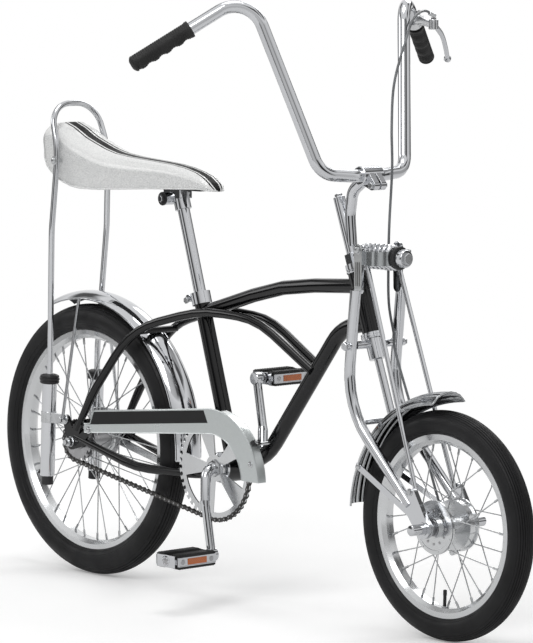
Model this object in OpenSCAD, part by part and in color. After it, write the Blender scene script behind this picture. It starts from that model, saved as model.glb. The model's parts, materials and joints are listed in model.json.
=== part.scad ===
// A chopper bicycle: high bars, a long saddle with a hoop behind it, a small
// front wheel in a sprung fork and a large rear wheel.
// +X is forward, +Y the rider's left, +Z up. Millimetres.
// The origin is the top of the saddle, where the rider sits.

/* [Wheels] */
// distance between the wheel axles, along the ground
wheelbase = 934; // [900:1:980]
// bead seat diameter of the rear rim
rear_bead_d = 406; // [390:1:412]
// height of the rear tyre above its bead seat
rear_tyre_h = 51; // [46:1:54]
// width of the rear tyre
rear_tyre_w = 54; // [48:1:56]
// bead seat diameter of the front rim
front_bead_d = 305; // [295:1:315]
// height of the front tyre above its bead seat
front_tyre_h = 43.5; // [38:0.5:46]
// width of the front tyre
front_tyre_w = 45; // [40:1:48]
// width of the rear rim
rear_rim_w = 33; // [30:1:36]
// width of the front rim
front_rim_w = 28; // [26:1:32]
// spokes in the rear wheel, a multiple of four
rear_spokes = 36; // [28:4:36]
// spokes in the front wheel, a multiple of four
front_spokes = 28; // [20:4:28]
// diameter of a spoke
spoke_d = 2.2; // [1.8:0.1:2.6]

/* [Frame] */
// height of the crank axle above the ground
crank_h = 243; // [236:1:250]
// distance from the rear axle forward to the crank axle
stay_run = 392; // [386:1:410]
// angle of the seat tube from the ground
seat_angle = 73; // [71:0.5:75]
// length of the seat tube from the crank axle
seat_tube_len = 308; // [300:1:320]
// diameter of the seat tube
seat_tube_d = 28.6; // [27:0.1:30]
// diameter of the down tube
down_tube_d = 28.6; // [27:0.1:31]
// diameter of the top tube
top_tube_d = 25.4; // [22:0.1:27]
// diameter of each of the twin curved tubes
curved_tube_d = 16; // [14:0.5:18]
// diameter of each chain stay
stay_d = 17; // [15:0.5:18]
// diameter of the head tube
head_tube_d = 33; // [31:0.5:36]
// length of the head tube
head_tube_len = 108; // [100:1:114]
// diameter of the crank's bearing shell
shell_d = 55; // [52:1:58]
// width of the crank's bearing shell
shell_w = 68; // [64:1:70]
// distance between the faces of the rear frame ends
rear_drop_gap = 110; // [109:0.5:114]
// thickness of a rear frame end
drop_t = 5; // [4:0.5:6]

/* [Fork] */
// angle of the steering axis from the ground
head_angle = 70; // [69:0.5:71]
// distance of the front axle ahead of the steering axis
fork_offset = 67; // [62:0.5:72]
// height of the lower head bearing above the front axle, along the steering axis
fork_len = 347; // [342:1:352]
// distance between the centres of the fork legs
leg_gap = 108; // [106:1:112]
// diameter of a fork leg
leg_d = 19; // [17:0.5:20]
// diameter of a truss rod
rod_d = 8; // [7:0.5:9]
// outer diameter of the fork spring
spring_d = 45; // [42:1:47]
// thickness of the spring wire
spring_wire_d = 8; // [6:0.5:9]
// length of the fork spring
spring_len = 82; // [76:1:86]

/* [Bars and saddle] */
// diameter of the handlebar tube
bar_d = 22.2; // [20:0.1:24]
// width between the ends of the handlebar tube
bar_w = 690; // [660:2:720]
// height of the handlebar's upper corners above their clamp
bar_rise = 312; // [300:2:330]
// length of a grip
grip_len = 118; // [100:1:124]
// diameter of a grip
grip_d = 31; // [28:0.5:34]
// diameter of the seat post
post_d = 22.2; // [20:0.1:23]
// length of the saddle
saddle_len = 448; // [430:2:460]
// width of the saddle at the rear
saddle_w = 102; // [96:1:104]
// height of the saddle's top above the ground, where the rider sits
saddle_h = 786; // [776:1:800]
// diameter of the hoop's tube behind the saddle
hoop_d = 11; // [9:0.5:12]
// diameter of a strut that carries the hoop
strut_d = 27; // [24:0.5:28]

/* [Drive] */
// length of a crank arm
crank_len = 152; // [146:1:160]
// teeth of the chainring
ring_teeth = 46; // [44:1:47]
// teeth of the rear cog
cog_teeth = 18; // [16:1:20]
// distance of the chain from the middle of the bicycle
chain_y = 46; // [45.5:0.1:46.5]
// distance of the chain guard from the middle of the bicycle
guard_y = 62; // [60:0.5:64]
// width of a pedal
pedal_w = 94; // [86:1:100]
// length of a pedal, front to back
pedal_len = 62; // [56:1:66]

/* [Fenders] */
// gap between the rear tyre and its fender
rear_fender_gap = 24; // [18:1:28]
// gap between the front tyre and its fender
front_fender_gap = 26; // [20:1:28]
// width of the rear fender
rear_fender_w = 60; // [56:1:62]
// width of the front fender
front_fender_w = 60; // [50:1:62]
// thickness of the fenders' metal
fender_t = 1.5; // [1.2:0.1:2]

/* [Hidden] */

// gap that is left between pieces that seat on each other
fit = 0.2;
// gap of a turning piece on its axle
run = 0.1;
// facets of a round piece, of a thin one, and of a wheel
round_fn = 32;
thin_fn = 16;
wheel_fn = 96;
// sides of a bent tube, and the turn of one of its rings
tube_sides = 16;
ring_turn = 9;

black = [0.03, 0.03, 0.035];
chrome = [0.82, 0.83, 0.85];
steel = [0.62, 0.63, 0.65];
silver = [0.66, 0.69, 0.70];
rubber = [0.06, 0.06, 0.06];
white = [0.88, 0.88, 0.87];

// wheel radii, from the bead seats and the tyres
rear_r = rear_bead_d / 2 + rear_tyre_h;
front_r = front_bead_d / 2 + front_tyre_h;

// main points in the side view, as [x, z] above the ground, with the rear axle at x = 0
rear_axle_at = [0, rear_r];
front_axle_at = [wheelbase, front_r];
crank_at = [stay_run, crank_h];
rider_at = [120, saddle_h];

// moves the whole from the rear axle's ground point to the rider's point
module from_rider() translate([-rider_at.x, 0, -rider_at.y]) children();

// puts a piece at a point of the side view, at a distance y to the left
module at(p, y = 0) translate([p.x, y, p.y]) children();

// lays a piece that was drawn along Z along the rider's left instead
module leftward() rotate([-90, 0, 0]) children();

// stands an outline, drawn as x and z, up in the side view with its middle on y
module side_sheet(t, y = 0) translate([0, y, 0]) rotate([90, 0, 0]) linear_extrude(t, center = true) children();

// mirrors a right-hand piece to the left
module to_left() mirror([0, 1, 0]) children();
module both_sides() {
  children();
  to_left() children();
}

// a disc or rod that lies across the bicycle, centred at a distance y
module across(p, y, len, r, fn = round_fn)
  at(p, y) leftward() cylinder(h = len, r = r, center = true, $fn = fn);

// point up the seat tube at a distance from the crank axle
function seat_line(s) = crank_at + s * [-cos(seat_angle), sin(seat_angle)];

// the steering axis: u forward of it and s up it, from its point nearest the front axle
steer_up = [-cos(head_angle), sin(head_angle)];
steer_fore = [sin(head_angle), cos(head_angle)];
steer_foot = front_axle_at - fork_offset * steer_fore;
function steer(u, s) = steer_foot + u * steer_fore + s * steer_up;
function steer3(u, y, s) = flat3(steer(u, s), y);
// moves a piece drawn with +X forward and +Z up the steering axis into place
module on_steering() at(steer_foot) rotate([0, head_angle - 90, 0]) children();

function unit(v) = v / norm(v);
function flat3(p, y) = [p.x, y, p.y];
function across_to(v, t) = unit(v - (v * t) * t);

// a frame whose Z axis runs along d
module along(d, p = [0, 0, 0]) {
  z = unit(d);
  x = unit(abs(z.y) < 0.9 ? cross([0, 1, 0], z) : cross([1, 0, 0], z));
  y = cross(z, x);
  multmatrix([
    [x.x, y.x, z.x, p.x],
    [x.y, y.y, z.y, p.y],
    [x.z, y.z, z.z, p.z],
    [0, 0, 0, 1]
  ]) children();
}

// a straight round bar between two points
module bar(a, b, r, fn = round_fn) along(b - a, a) cylinder(h = norm(b - a), r = r, $fn = fn);

// the rings of one bend of radius r at the corner p, as [centre, direction]
function bend_rings(a, p, b, r) =
  let (
    d1 = unit(p - a), d2 = unit(b - p), turn = acos(d1 * d2),
    side = across_to(d2, d1), start = p - d1 * r * tan(turn / 2), c = start + side * r,
    n = ceil(turn / ring_turn)
  )
  [for (i = [0:n]) let (g = turn * i / n) [c - side * r * cos(g) + d1 * r * sin(g), d1 * cos(g) + side * sin(g)]];

// all rings of a tube through points, with the radius of the bend at each inner point
function tube_rings(pts, bends) =
  let (last = len(pts) - 1)
  [
    [pts[0], unit(pts[1] - pts[0])],
    for (i = [1:last - 1]) each bend_rings(pts[i - 1], pts[i], pts[i + 1], bends[i - 1]),
    [pts[last], unit(pts[last] - pts[last - 1])]
  ];

// a round tube through points; r is one radius, or that and the radius at its last end
module bent_tube(pts, bends, r, sides = tube_sides) {
  rings = tube_rings(pts, bends);
  n = len(rings);
  radii = is_list(r) ? r : [r, r];
  first = across_to(abs(rings[0][1].y) < 0.9 ? [0, 1, 0] : [1, 0, 0], rings[0][1]);
  ups = [for (i = 0, u = first; i < n; i = i + 1, u = i < n ? across_to(u, rings[i][1]) : u) u];
  points = [
    for (i = [0:n - 1], k = [0:sides - 1])
      let (
        here = i < n - 1 ? radii[0] : radii[1], g = 360 * k / sides,
        u = ups[i], v = cross(rings[i][1], ups[i])
      )
      rings[i][0] + here * (u * cos(g) + v * sin(g))
  ];
  faces = [
    [for (k = [0:sides - 1]) k],
    [for (k = [sides - 1:-1:0]) (n - 1) * sides + k],
    for (i = [0:n - 2], k = [0:sides - 1]) let (l = (k + 1) % sides)
      each [
        [i * sides + k, (i + 1) * sides + k, (i + 1) * sides + l],
        [i * sides + k, (i + 1) * sides + l, i * sides + l]
      ]
  ];
  polyhedron(points, faces);
}

// an outline in the side view with round ends of n sides, from a to b
module link_outline(a, b, ra, rb, n = 12) {
  reach = norm(b - a);
  lean = asin((ra - rb) / reach);
  translate(a) rotate(atan2(b.y - a.y, b.x - a.x)) polygon([
    for (i = [0:n]) let (g = 90 - lean + (180 + 2 * lean) * i / n) ra * [cos(g), sin(g)],
    for (i = [0:n]) let (g = lean - 90 + (180 - 2 * lean) * i / n) [reach, 0] + rb * [cos(g), sin(g)]
  ]);
}

/* head, top and down tubes */
// height of the lower head bearing's cup
cup_h = 10;
head_low = fork_len + cup_h;
head_high = head_low + head_tube_len;
head_bore_r = head_tube_d / 2 - 2.5;
shell_r = shell_d / 2;
seat_top = seat_line(seat_tube_len);
top_join = seat_line(seat_tube_len - 25);
top_head = steer(0, head_high - 24);
down_head = steer(0, head_low + 18);

module head_tube_solid()
  on_steering() translate([0, 0, head_low]) cylinder(h = head_tube_len, r = head_tube_d / 2, $fn = round_fn);

module head_tube() color(black) from_rider() difference() {
  head_tube_solid();
  on_steering() translate([0, 0, head_low - 1]) cylinder(h = head_tube_len + 2, r = head_bore_r, $fn = round_fn);
}

module seat_tube_solid() bar(flat3(crank_at, 0), flat3(seat_top, 0), seat_tube_d / 2);
module shell_solid() across(crank_at, 0, shell_w, shell_r);

post_foot = seat_tube_len - 92;
module seat_tube() color(black) from_rider() difference() {
  seat_tube_solid();
  shell_solid();
  bar(flat3(seat_line(post_foot - 4), 0), flat3(seat_line(seat_tube_len + 1), 0), post_d / 2 + fit);
}

module top_tube() color(black) from_rider() difference() {
  bent_tube([flat3(top_join, 0), flat3(top_head - [197, 11], 0), flat3(top_head, 0)], [700], top_tube_d / 2);
  head_tube_solid();
  seat_tube_solid();
}

module down_tube_solid() bent_tube(
  [flat3(down_head, 0), flat3(down_head - [69, 13], 0), flat3(crank_at + [88, 25], 0), flat3(crank_at, 0)],
  [90, 110], down_tube_d / 2);

module down_tube() color(black) from_rider() difference() {
  down_tube_solid();
  head_tube_solid();
  shell_solid();
}

/* twin curved tubes, from the down tube past the seat tube to the frame ends */
frame_end_y = (rear_drop_gap + drop_t) / 2;
curved_seat_y = (seat_tube_d + curved_tube_d) / 2 - 0.5;
module curved_tube_solid() bent_tube(
  [
    flat3(down_head + [-132, -93], -13),
    flat3(seat_top + [168, -25], -16),
    flat3(seat_top + [28, -17.5], -curved_seat_y),
    flat3(rear_axle_at + [160, 222], -45),
    flat3(rear_axle_at + [62, 98], -frame_end_y + 1),
    flat3(rear_axle_at + [14, 24], -frame_end_y)
  ],
  [200, 350, 200, 300], [curved_tube_d / 2, 6]);

module curved_tube() {
  difference() {
    curved_tube_solid();
    down_tube_solid();
    seat_tube_solid();
    frame_end_solid();
  }
  half_bridge(50, 42);
}
module curved_tube_right() color(black) from_rider() curved_tube();
module curved_tube_left() color(black) from_rider() to_left() curved_tube();

/* bearing shell and chain stays */
gusset_t = 5;
module gusset(extra = 0) translate([crank_at.x - 82, -26 - extra, crank_at.y - 27 - extra])
  cube([66, 52 + 2 * extra, gusset_t + 2 * extra]);

module bottom_bracket() color(black) from_rider() difference() {
  union() {
    shell_solid();
    gusset();
  }
  across(crank_at, 0, shell_w + 2, shell_r - 3.5);
}

stay_front_y = (shell_w - stay_d) / 2 - 0.5;
module chain_stay() {
  difference() {
    bent_tube(
      [
        flat3(crank_at + [-5, -14], -stay_front_y),
        flat3(crank_at + [-96, -21], -29.5),
        flat3(rear_axle_at + [178, -31], -50.5),
        flat3(rear_axle_at + [10, 10], -frame_end_y)
      ],
      [240, 240], [stay_d / 2, 5.5]);
    shell_solid();
    frame_end_solid();
    gusset();
  }
  half_bridge(-6, 32);
}
module chain_stay_right() color(black) from_rider() chain_stay();
module chain_stay_left() color(black) from_rider() to_left() chain_stay();

// right half of a bridge that the fender hangs on, at an angle up from the front
bridge_r = 6;
rear_fender_r = rear_r + rear_fender_gap + fender_t;
module half_bridge(turn, reach)
  across(rear_axle_at + (rear_fender_r + bridge_r + fit) * [cos(turn), sin(turn)], -reach / 2, reach, bridge_r, thin_fn);

/* frame ends and rear axle */
// bolts of a strut's bracket and of the chain guard
strut_bolt_at = rear_axle_at + [-16, 40];
guard_bolt_at = rear_axle_at + [55, 27];
axle_r = 4.76;
axle_half = 76;
module frame_end_solid() side_sheet(drop_t, -frame_end_y) {
  link_outline(rear_axle_at, rear_axle_at + [26, 2], 15, 10);
  link_outline(rear_axle_at + [2, 2], strut_bolt_at, 13, 9);
  link_outline(rear_axle_at + [6, 8], rear_axle_at + [20, 32], 12, 9);
  // tab that carries the chain guard
  link_outline(rear_axle_at + [22, 4], guard_bolt_at, 9, 7);
}
module frame_end() difference() {
  frame_end_solid();
  across(rear_axle_at, -frame_end_y, drop_t + 2, axle_r + fit);
}
module frame_end_right() color(black) from_rider() frame_end();
module frame_end_left() color(black) from_rider() to_left() frame_end();

nut_r = 9;
nut_h = 9;
cone_h = 4;
module rear_axle() color(steel) from_rider() {
  across(rear_axle_at, 0, 2 * axle_half, axle_r);
  both_sides() {
    across(rear_axle_at, -rear_drop_gap / 2 - drop_t - fit - nut_h / 2, nut_h, nut_r, 6);
    across(rear_axle_at, -rear_drop_gap / 2 + fit + cone_h / 2, cone_h, 8);
  }
}

/* seat post and saddle */
clamp_h = 22;
module seat_clamp() color(chrome) from_rider() difference() {
  union() {
    bar(flat3(seat_line(seat_tube_len - 10), 0), flat3(seat_line(seat_tube_len + clamp_h - 10), 0), seat_tube_d / 2 + 4);
    across(seat_line(seat_tube_len) + [-seat_tube_d / 2 - 8, 0], 0, 26, 6.5);
  }
  bar(flat3(seat_line(seat_tube_len - 20), 0), flat3(seat_line(seat_tube_len + fit), 0), seat_tube_d / 2 + fit);
  bar(flat3(seat_line(seat_tube_len - 1), 0), flat3(seat_line(seat_tube_len + clamp_h), 0), post_d / 2 + fit);
}

// height of the saddle pan's underside above the ground
pan_z = saddle_h - 53;
post_top = (pan_z - crank_h) / sin(seat_angle) - 4;
module seat_post() color(chrome) from_rider()
  bar(flat3(seat_line(post_foot), 0), flat3(seat_line(post_top - 12), 0), post_d / 2);

module saddle_clamp() color(steel) from_rider() difference() {
  union() {
    across(seat_line(post_top - 12) + [-22, -2], 0, 50, 11.5);
    bar(flat3(seat_line(post_top - 34), 0), flat3(seat_line(post_top - 4), 0), post_d / 2 + 4);
    at([seat_line(post_top - 12).x - 10, pan_z - fit - 8]) cube([44, 30, 16], center = true);
  }
  bar(flat3(seat_line(post_top - 60), 0), flat3(seat_line(post_top - 12), 0), post_d / 2 + fit);
}

// the saddle from the side: [share of the length from its rear, height over the pan]
saddle_side = [
  [0, 84], [0.02, 104], [0.07, 110], [0.15, 102], [0.25, 84], [0.38, 64], [0.5, 54.5], [0.7, 47],
  [0.84, 38], [0.94, 24], [1, 8], [0.99, 4], [0.4, 4], [0.28, 4], [0.16, 16], [0.06, 44]
];
// the saddle from above: [share of the length from its rear, share of the half width]
saddle_plan = [[0, 0.62], [0.03, 0.88], [0.1, 1], [0.3, 0.96], [0.6, 0.72], [0.85, 0.58], [0.96, 0.46], [1, 0.3]];
saddle_rear = -96;
module saddle_pad() color(white) from_rider() translate([saddle_rear, 0, pan_z]) intersection() {
  side_sheet(2 * saddle_w) polygon([for (p = saddle_side) [p.x * saddle_len, p.y]]);
  linear_extrude(140) polygon([
    for (p = saddle_plan) [p.x * saddle_len, p.y * saddle_w / 2],
    for (i = [len(saddle_plan) - 1:-1:0]) [saddle_plan[i].x * saddle_len, -saddle_plan[i].y * saddle_w / 2]
  ]);
}
module saddle_pan() color(black) from_rider()
  translate([saddle_rear + 0.32 * saddle_len, -24, pan_z]) cube([0.62 * saddle_len, 48, 3.8]);

/* hoop behind the saddle and the sprung struts that carry it */
hoop_y = 66;
strut_y = 57;
strut_foot = rear_axle_at + [-76, -82];
strut_top = rear_axle_at + [-66, 128];
strut_dir = unit(strut_top - strut_foot);
hoop_foot = strut_top - 30 * strut_dir;
hoop_bend = strut_top + 40 * strut_dir;
module hoop() color(chrome) from_rider() bent_tube(
  [
    flat3(hoop_foot, -strut_y), flat3(hoop_bend, -strut_y), [-47, -hoop_y, saddle_h - 140],
    [-35, -61, saddle_h + 6], [-66, -57, saddle_h + 106], [-66, 57, saddle_h + 106],
    [-35, 61, saddle_h + 6], [-47, hoop_y, saddle_h - 140], flat3(hoop_bend, strut_y), flat3(hoop_foot, strut_y)
  ],
  [200, 300, 160, 50, 50, 160, 300, 200], hoop_d / 2);

strut_r = strut_d / 2;
module strut() difference() {
  union() {
    bar(flat3(strut_foot, -strut_y), flat3(strut_top, -strut_y), strut_r);
    bar(flat3(strut_top - 8 * strut_dir, -strut_y), flat3(strut_top + 12 * strut_dir, -strut_y), strut_r + 2.5);
    bar(flat3(strut_foot - 2 * strut_dir, -strut_y), flat3(strut_foot + 10 * strut_dir, -strut_y), strut_r + 1);
    side_sheet(3, -frame_end_y - drop_t / 2 - fit - 1.5)
      link_outline(rear_axle_at + [-68, 40], strut_bolt_at, 10, 9);
  }
  bar(flat3(strut_top - 32 * strut_dir, -strut_y), flat3(strut_top + 30 * strut_dir, -strut_y), hoop_d / 2 + fit);
}
module strut_right() color(chrome) from_rider() strut();
module strut_left() color(chrome) from_rider() to_left() strut();

/* fenders */
// a curved shell over a tyre, from angle a0 to a1 measured up from the front
module fender_shell(r, w, crown, a0, a1) {
  arch_r = (crown * crown + w * w / 4) / (2 * crown);
  rotate([90, 0, 0]) rotate([0, 0, a0]) rotate_extrude(angle = a1 - a0, $fn = wheel_fn) intersection() {
    translate([r - arch_r, 0]) difference() {
      circle(r = arch_r, $fn = 64);
      circle(r = arch_r - fender_t, $fn = 64);
    }
    translate([r - crown, -w / 2]) square([crown + 1, w]);
  }
}
rear_fender_crown = 15;
// half width of the tongue that reaches down between the chain stays
tongue_half = 12;
module rear_fender() color(chrome) from_rider() at(rear_axle_at) difference() {
  fender_shell(rear_fender_r, rear_fender_w, rear_fender_crown, -9, 112);
  for (y = [tongue_half, -40]) translate([rear_fender_r - 40, y, -60]) cube([60, 40 - tongue_half, 46]);
}

stay_r = 3;
module rear_fender_stays() color(chrome) from_rider() both_sides() {
  bar(
    flat3(rear_axle_at + [-8, rear_fender_r - rear_fender_crown], -rear_fender_w / 2 - stay_r - fit),
    flat3(strut_bolt_at, -frame_end_y - drop_t / 2 - 3 - 2 * fit - stay_r - 1.4), stay_r, thin_fn);
}

/* chain guard: a long panel that widens into a hood round the front of the chainring */
guard_t = 2;
hood_r = 126;
hood_at = crank_at + [8, -18];
guard_inner_r = 88;
guard_lip_w = 19;
module guard_outline() difference() {
  union() {
    polygon([
      crank_at + [-350, 32], crank_at + [-350, 49], crank_at + [-332, 51], crank_at + [-323, 75],
      crank_at + [0, 107], crank_at + [0, 64.6]
    ]);
    intersection() {
      translate(hood_at) circle(r = hood_r, $fn = wheel_fn);
      translate(crank_at + [0, -30]) square([160, 160]);
    }
  }
  translate(crank_at) circle(r = guard_inner_r, $fn = wheel_fn);
}
module chain_guard() color(silver) from_rider() {
  side_sheet(guard_t, -guard_y) guard_outline();
  side_sheet(guard_lip_w, -guard_y - guard_t / 2 + guard_lip_w / 2) intersection() {
    translate(hood_at) difference() {
      circle(r = hood_r, $fn = wheel_fn);
      circle(r = hood_r - guard_t, $fn = wheel_fn);
    }
    translate(crank_at + [30, -30]) square([160, 150]);
  }
  // boss on the frame end's tab, and pin from the lip to the down tube
  across(guard_bolt_at, -guard_y + guard_t / 2, 2 * (guard_y - guard_t / 2 - frame_end_y - drop_t / 2 - fit), 6, thin_fn);
  across(hood_at + (hood_r - 1) * [cos(26), sin(26)], -30, 62, 3, thin_fn);
}

/* chain and sprockets */
pitch = 12.7;
ring_pitch_r = pitch / (2 * sin(180 / ring_teeth));
cog_pitch_r = pitch / (2 * sin(180 / cog_teeth));
roller_r = 3.9;
link_half = 4.4;
link_t = 1.3;
link_gap = 4.4;
sprocket_t = 2.6;
// lean of the chain's straight runs from the line of the axles, and of that line itself
run_len = norm(crank_at - rear_axle_at);
run_lean = asin((ring_pitch_r - cog_pitch_r) / run_len);
axle_lean = atan2(crank_at.y - rear_axle_at.y, crank_at.x - rear_axle_at.x);

module chain_outline(extra) link_outline([0, 0], [run_len, 0], cog_pitch_r + extra, ring_pitch_r + extra, 40);

// rollers only where no tooth passes
roller_margin = 45;
module chain() color(steel) from_rider() at(rear_axle_at, -chain_y) rotate([90, 0, 0]) rotate([0, 0, axle_lean]) {
  for (side = [-1, 1]) translate([0, 0, side * (link_gap + link_t) / 2])
    linear_extrude(link_t, center = true) difference() {
      chain_outline(link_half);
      chain_outline(-link_half);
    }
  straight = run_len * cos(run_lean);
  count = floor((straight - 2 * roller_margin) / pitch);
  for (side = [-1, 1], i = [0:count])
    rotate([0, 0, side * run_lean]) translate([roller_margin + i * pitch, side * cog_pitch_r, 0])
      cylinder(h = link_gap + link_t, r = roller_r, center = true, $fn = 10);
}

// a toothed disc in its own plane
module toothed(teeth, pitch_r) difference() {
  circle(r = pitch_r + 3.2, $fn = wheel_fn);
  for (i = [0:teeth - 1]) rotate([0, 0, (i + 0.5) * 360 / teeth])
    translate([pitch_r, 0]) circle(r = roller_r + 0.2, $fn = 10);
}

carrier_r = 17;
module rear_cog() color(steel) from_rider() at(rear_axle_at) difference() {
  union() {
    side_sheet(sprocket_t, -chain_y) toothed(cog_teeth, cog_pitch_r);
    translate([0, -hub_end_y - 0.5, 0]) rotate([90, 0, 0])
      cylinder(h = chain_y + sprocket_t / 2 - hub_end_y - 0.5, r = carrier_r, $fn = round_fn);
  }
  across([0, 0], -chain_y, 60, axle_r + run);
}

spider_r = 80;
crank_r = 11.8;
module chainring() color(silver) from_rider() at(crank_at) side_sheet(sprocket_t, -chain_y) difference() {
  union() {
    difference() {
      toothed(ring_teeth, ring_pitch_r);
      circle(r = spider_r, $fn = wheel_fn);
    }
    circle(r = 24, $fn = round_fn);
    for (i = [0:4]) rotate([0, 0, 36 + 72 * i])
      polygon([[14, -6], [spider_r + 3, -21], [spider_r + 3, 21], [14, 6]]);
  }
  circle(r = crank_r + fit, $fn = round_fn);
}

/* crank and pedals */
// how far the right arm leans forward of straight down
crank_lean = 13;
arm_y = 84;
crank_foot = crank_len * [sin(crank_lean), -cos(crank_lean)];
pin_r = 6;
arm_eye_r = 13;
arm_eye_w = 15;
module crank_arm(foot) {
  bent_tube(
    [[0, -shell_w / 2 - 6, 0], [0, -68, 0], flat3(0.4 * foot, -arm_y + 3.5), flat3(0.98 * foot, -arm_y)],
    [24, 60], [crank_r, crank_r - 1.5]);
  across(foot, -arm_y, arm_eye_w, arm_eye_r);
}
module crank() color(chrome) from_rider() at(crank_at) difference() {
  union() {
    across([0, 0], 0, 2 * (shell_w / 2 + 10), crank_r);
    crank_arm(crank_foot);
    to_left() crank_arm(-crank_foot);
    // collar against the chainring
    across([0, 0], -chain_y + sprocket_t / 2 + fit + 3, 6, 20);
  }
  across(crank_foot, -arm_y, 40, pin_r + run);
  across(-crank_foot, arm_y, 40, pin_r + run);
}

pedal_gap = 5.5;
cage_h = 22;
pedal_in = arm_y + arm_eye_w / 2 + pedal_gap;
pedal_mid = pedal_in + pedal_w / 2;
module pedal() {
  // pin in the arm's eye and the barrel round it
  across([0, 0], -(arm_y - arm_eye_w / 2 + pedal_mid) / 2, pedal_mid - arm_y + arm_eye_w / 2, pin_r);
  across([0, 0], -pedal_mid, pedal_w, 9);
  for (side = [-1, 1]) translate([side * (pedal_len / 2 - 12), -pedal_mid, 0]) cube([22, pedal_w - 7, 26], center = true);
  for (end = [-1, 1]) translate([0, -pedal_mid + end * (pedal_w / 2 - 2), 0]) cube([pedal_len - 6, 4, cage_h], center = true);
}
module pedal_right() color(rubber) from_rider() at(crank_at + crank_foot) pedal();
module pedal_left() color(rubber) from_rider() at(crank_at - crank_foot) to_left() pedal();

/* coaster brake arm, on the left */
arm_t = 3;
brake_arm_y = rear_drop_gap / 2 - cone_h - arm_t / 2 - 2 * fit;
arm_end = rear_axle_at + [138, -36];
stay_mid = flat3(rear_axle_at + [136, -21], 52.2);
stay_dir = unit([42, -1.8, -10]);
module coaster_arm() color(steel) from_rider() difference() {
  union() {
    side_sheet(arm_t, brake_arm_y) {
      translate(rear_axle_at) circle(r = 15, $fn = round_fn);
      link_outline(rear_axle_at + [10, -7], arm_end, 7.5, 6);
    }
    bar(stay_mid - 6 * stay_dir, stay_mid + 6 * stay_dir, stay_d / 2 + 2.5);
  }
  bar(stay_mid - 12 * stay_dir, stay_mid + 12 * stay_dir, stay_d / 2 + fit);
  across(rear_axle_at, brake_arm_y, 5, axle_r + fit);
}

/* wheels */
rim_depth = 13;
hook_h = 6;
hook_t = 3;
// a tyre whose foot sits between the hooks of its rim
module tyre(bead_d, height, width, rim_w) rotate([90, 0, 0]) rotate_extrude($fn = wheel_fn) difference() {
  union() {
    translate([bead_d / 2 + height - width / 2, 0]) circle(r = width / 2, $fn = 48);
    translate([bead_d / 2 + fit, hook_t + fit - rim_w / 2]) square([10, rim_w - 2 * hook_t - 2 * fit]);
  }
  translate([bead_d / 2 - 40, -width]) square([40 + fit, 2 * width]);
  for (side = [-1, 1]) translate([bead_d / 2, side * (rim_w / 2 - hook_t / 2)])
    square([2 * (hook_h + fit), hook_t + 2 * fit], center = true);
}

module rim(bead_d, rim_w) rotate([90, 0, 0]) rotate_extrude($fn = wheel_fn) polygon([
  [bead_d / 2 - rim_depth, -8], [bead_d / 2 - rim_depth, 8],
  [bead_d / 2 - 6, rim_w / 2], [bead_d / 2 + hook_h, rim_w / 2], [bead_d / 2 + hook_h, rim_w / 2 - hook_t],
  [bead_d / 2, rim_w / 2 - hook_t], [bead_d / 2, -rim_w / 2 + hook_t],
  [bead_d / 2 + hook_h, -rim_w / 2 + hook_t], [bead_d / 2 + hook_h, -rim_w / 2], [bead_d / 2 - 6, -rim_w / 2]
]);

// spokes from two flanges to the rim: every second one leads and the next trails
spoke_step = 2.7;
nipple_len = 12;
module spoking(count, flange_r, flange_y, rim_r, lead_turn) {
  per_side = count / 2;
  for (side = [-1, 1], i = [0:per_side - 1]) {
    lead = i % 2 == 0 ? 1 : -1;
    rim_turn = i * 360 / per_side + (side > 0 ? 180 / per_side : 0);
    hub_turn = rim_turn + lead * lead_turn;
    a = [flange_r * cos(hub_turn), side * (flange_y + lead * spoke_step), flange_r * sin(hub_turn)];
    b = [rim_r * cos(rim_turn), side * 2, rim_r * sin(rim_turn)];
    bar(a, b, spoke_d / 2, 6);
    bar(b - nipple_len * unit(b - a), b, spoke_d / 2 + 1, 6);
  }
}

flange_y = 29;
flange_t = 3;
rear_flange_r = 34;
// right end of the rear hub, against the driver that carries the cog
hub_end_y = 34;
drum_r = 46;
drum_w = 16;
module rear_tyre() color(rubber) from_rider() at(rear_axle_at) tyre(rear_bead_d, rear_tyre_h, rear_tyre_w, rear_rim_w);
module rear_rim() color(silver) from_rider() at(rear_axle_at) rim(rear_bead_d, rear_rim_w);
module rear_spoking() color(steel) from_rider() at(rear_axle_at)
  spoking(rear_spokes, rear_flange_r - 5, flange_y, rear_bead_d / 2 - rim_depth - fit, 55);
module rear_hub() color(steel) from_rider() difference() {
  union() {
    across(rear_axle_at, 0, 2 * flange_y, 20);
    both_sides() across(rear_axle_at, -flange_y, flange_t, rear_flange_r);
    across(rear_axle_at, (brake_arm_y - arm_t / 2 - 1) / 2, brake_arm_y - arm_t / 2 - 1, 19);
    across(rear_axle_at, -hub_end_y / 2, hub_end_y, 19);
  }
  across(rear_axle_at, 0, 200, axle_r + run);
}

front_hub_half = 34;
module front_tyre() color(rubber) from_rider() at(front_axle_at) tyre(front_bead_d, front_tyre_h, front_tyre_w, front_rim_w);
module front_rim() color(silver) from_rider() at(front_axle_at) rim(front_bead_d, front_rim_w);
module front_spoking() color(steel) from_rider() at(front_axle_at)
  spoking(front_spokes, drum_r - 5, flange_y, front_bead_d / 2 - rim_depth - fit, 30);
module front_hub() color(steel) from_rider() difference() {
  union() {
    across(front_axle_at, 0, 2 * flange_y, 16);
    across(front_axle_at, -flange_y, flange_t, drum_r);
    across(front_axle_at, flange_y, flange_t, drum_r);
    across(front_axle_at, flange_y - drum_w / 2, drum_w, drum_r - 3);
    across(front_axle_at, -flange_y - 4, 8, 18);
  }
  across(front_axle_at, 0, 200, axle_r + run);
}

/* steering head */
steerer_r = 11;
headset_h = 34;
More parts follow.
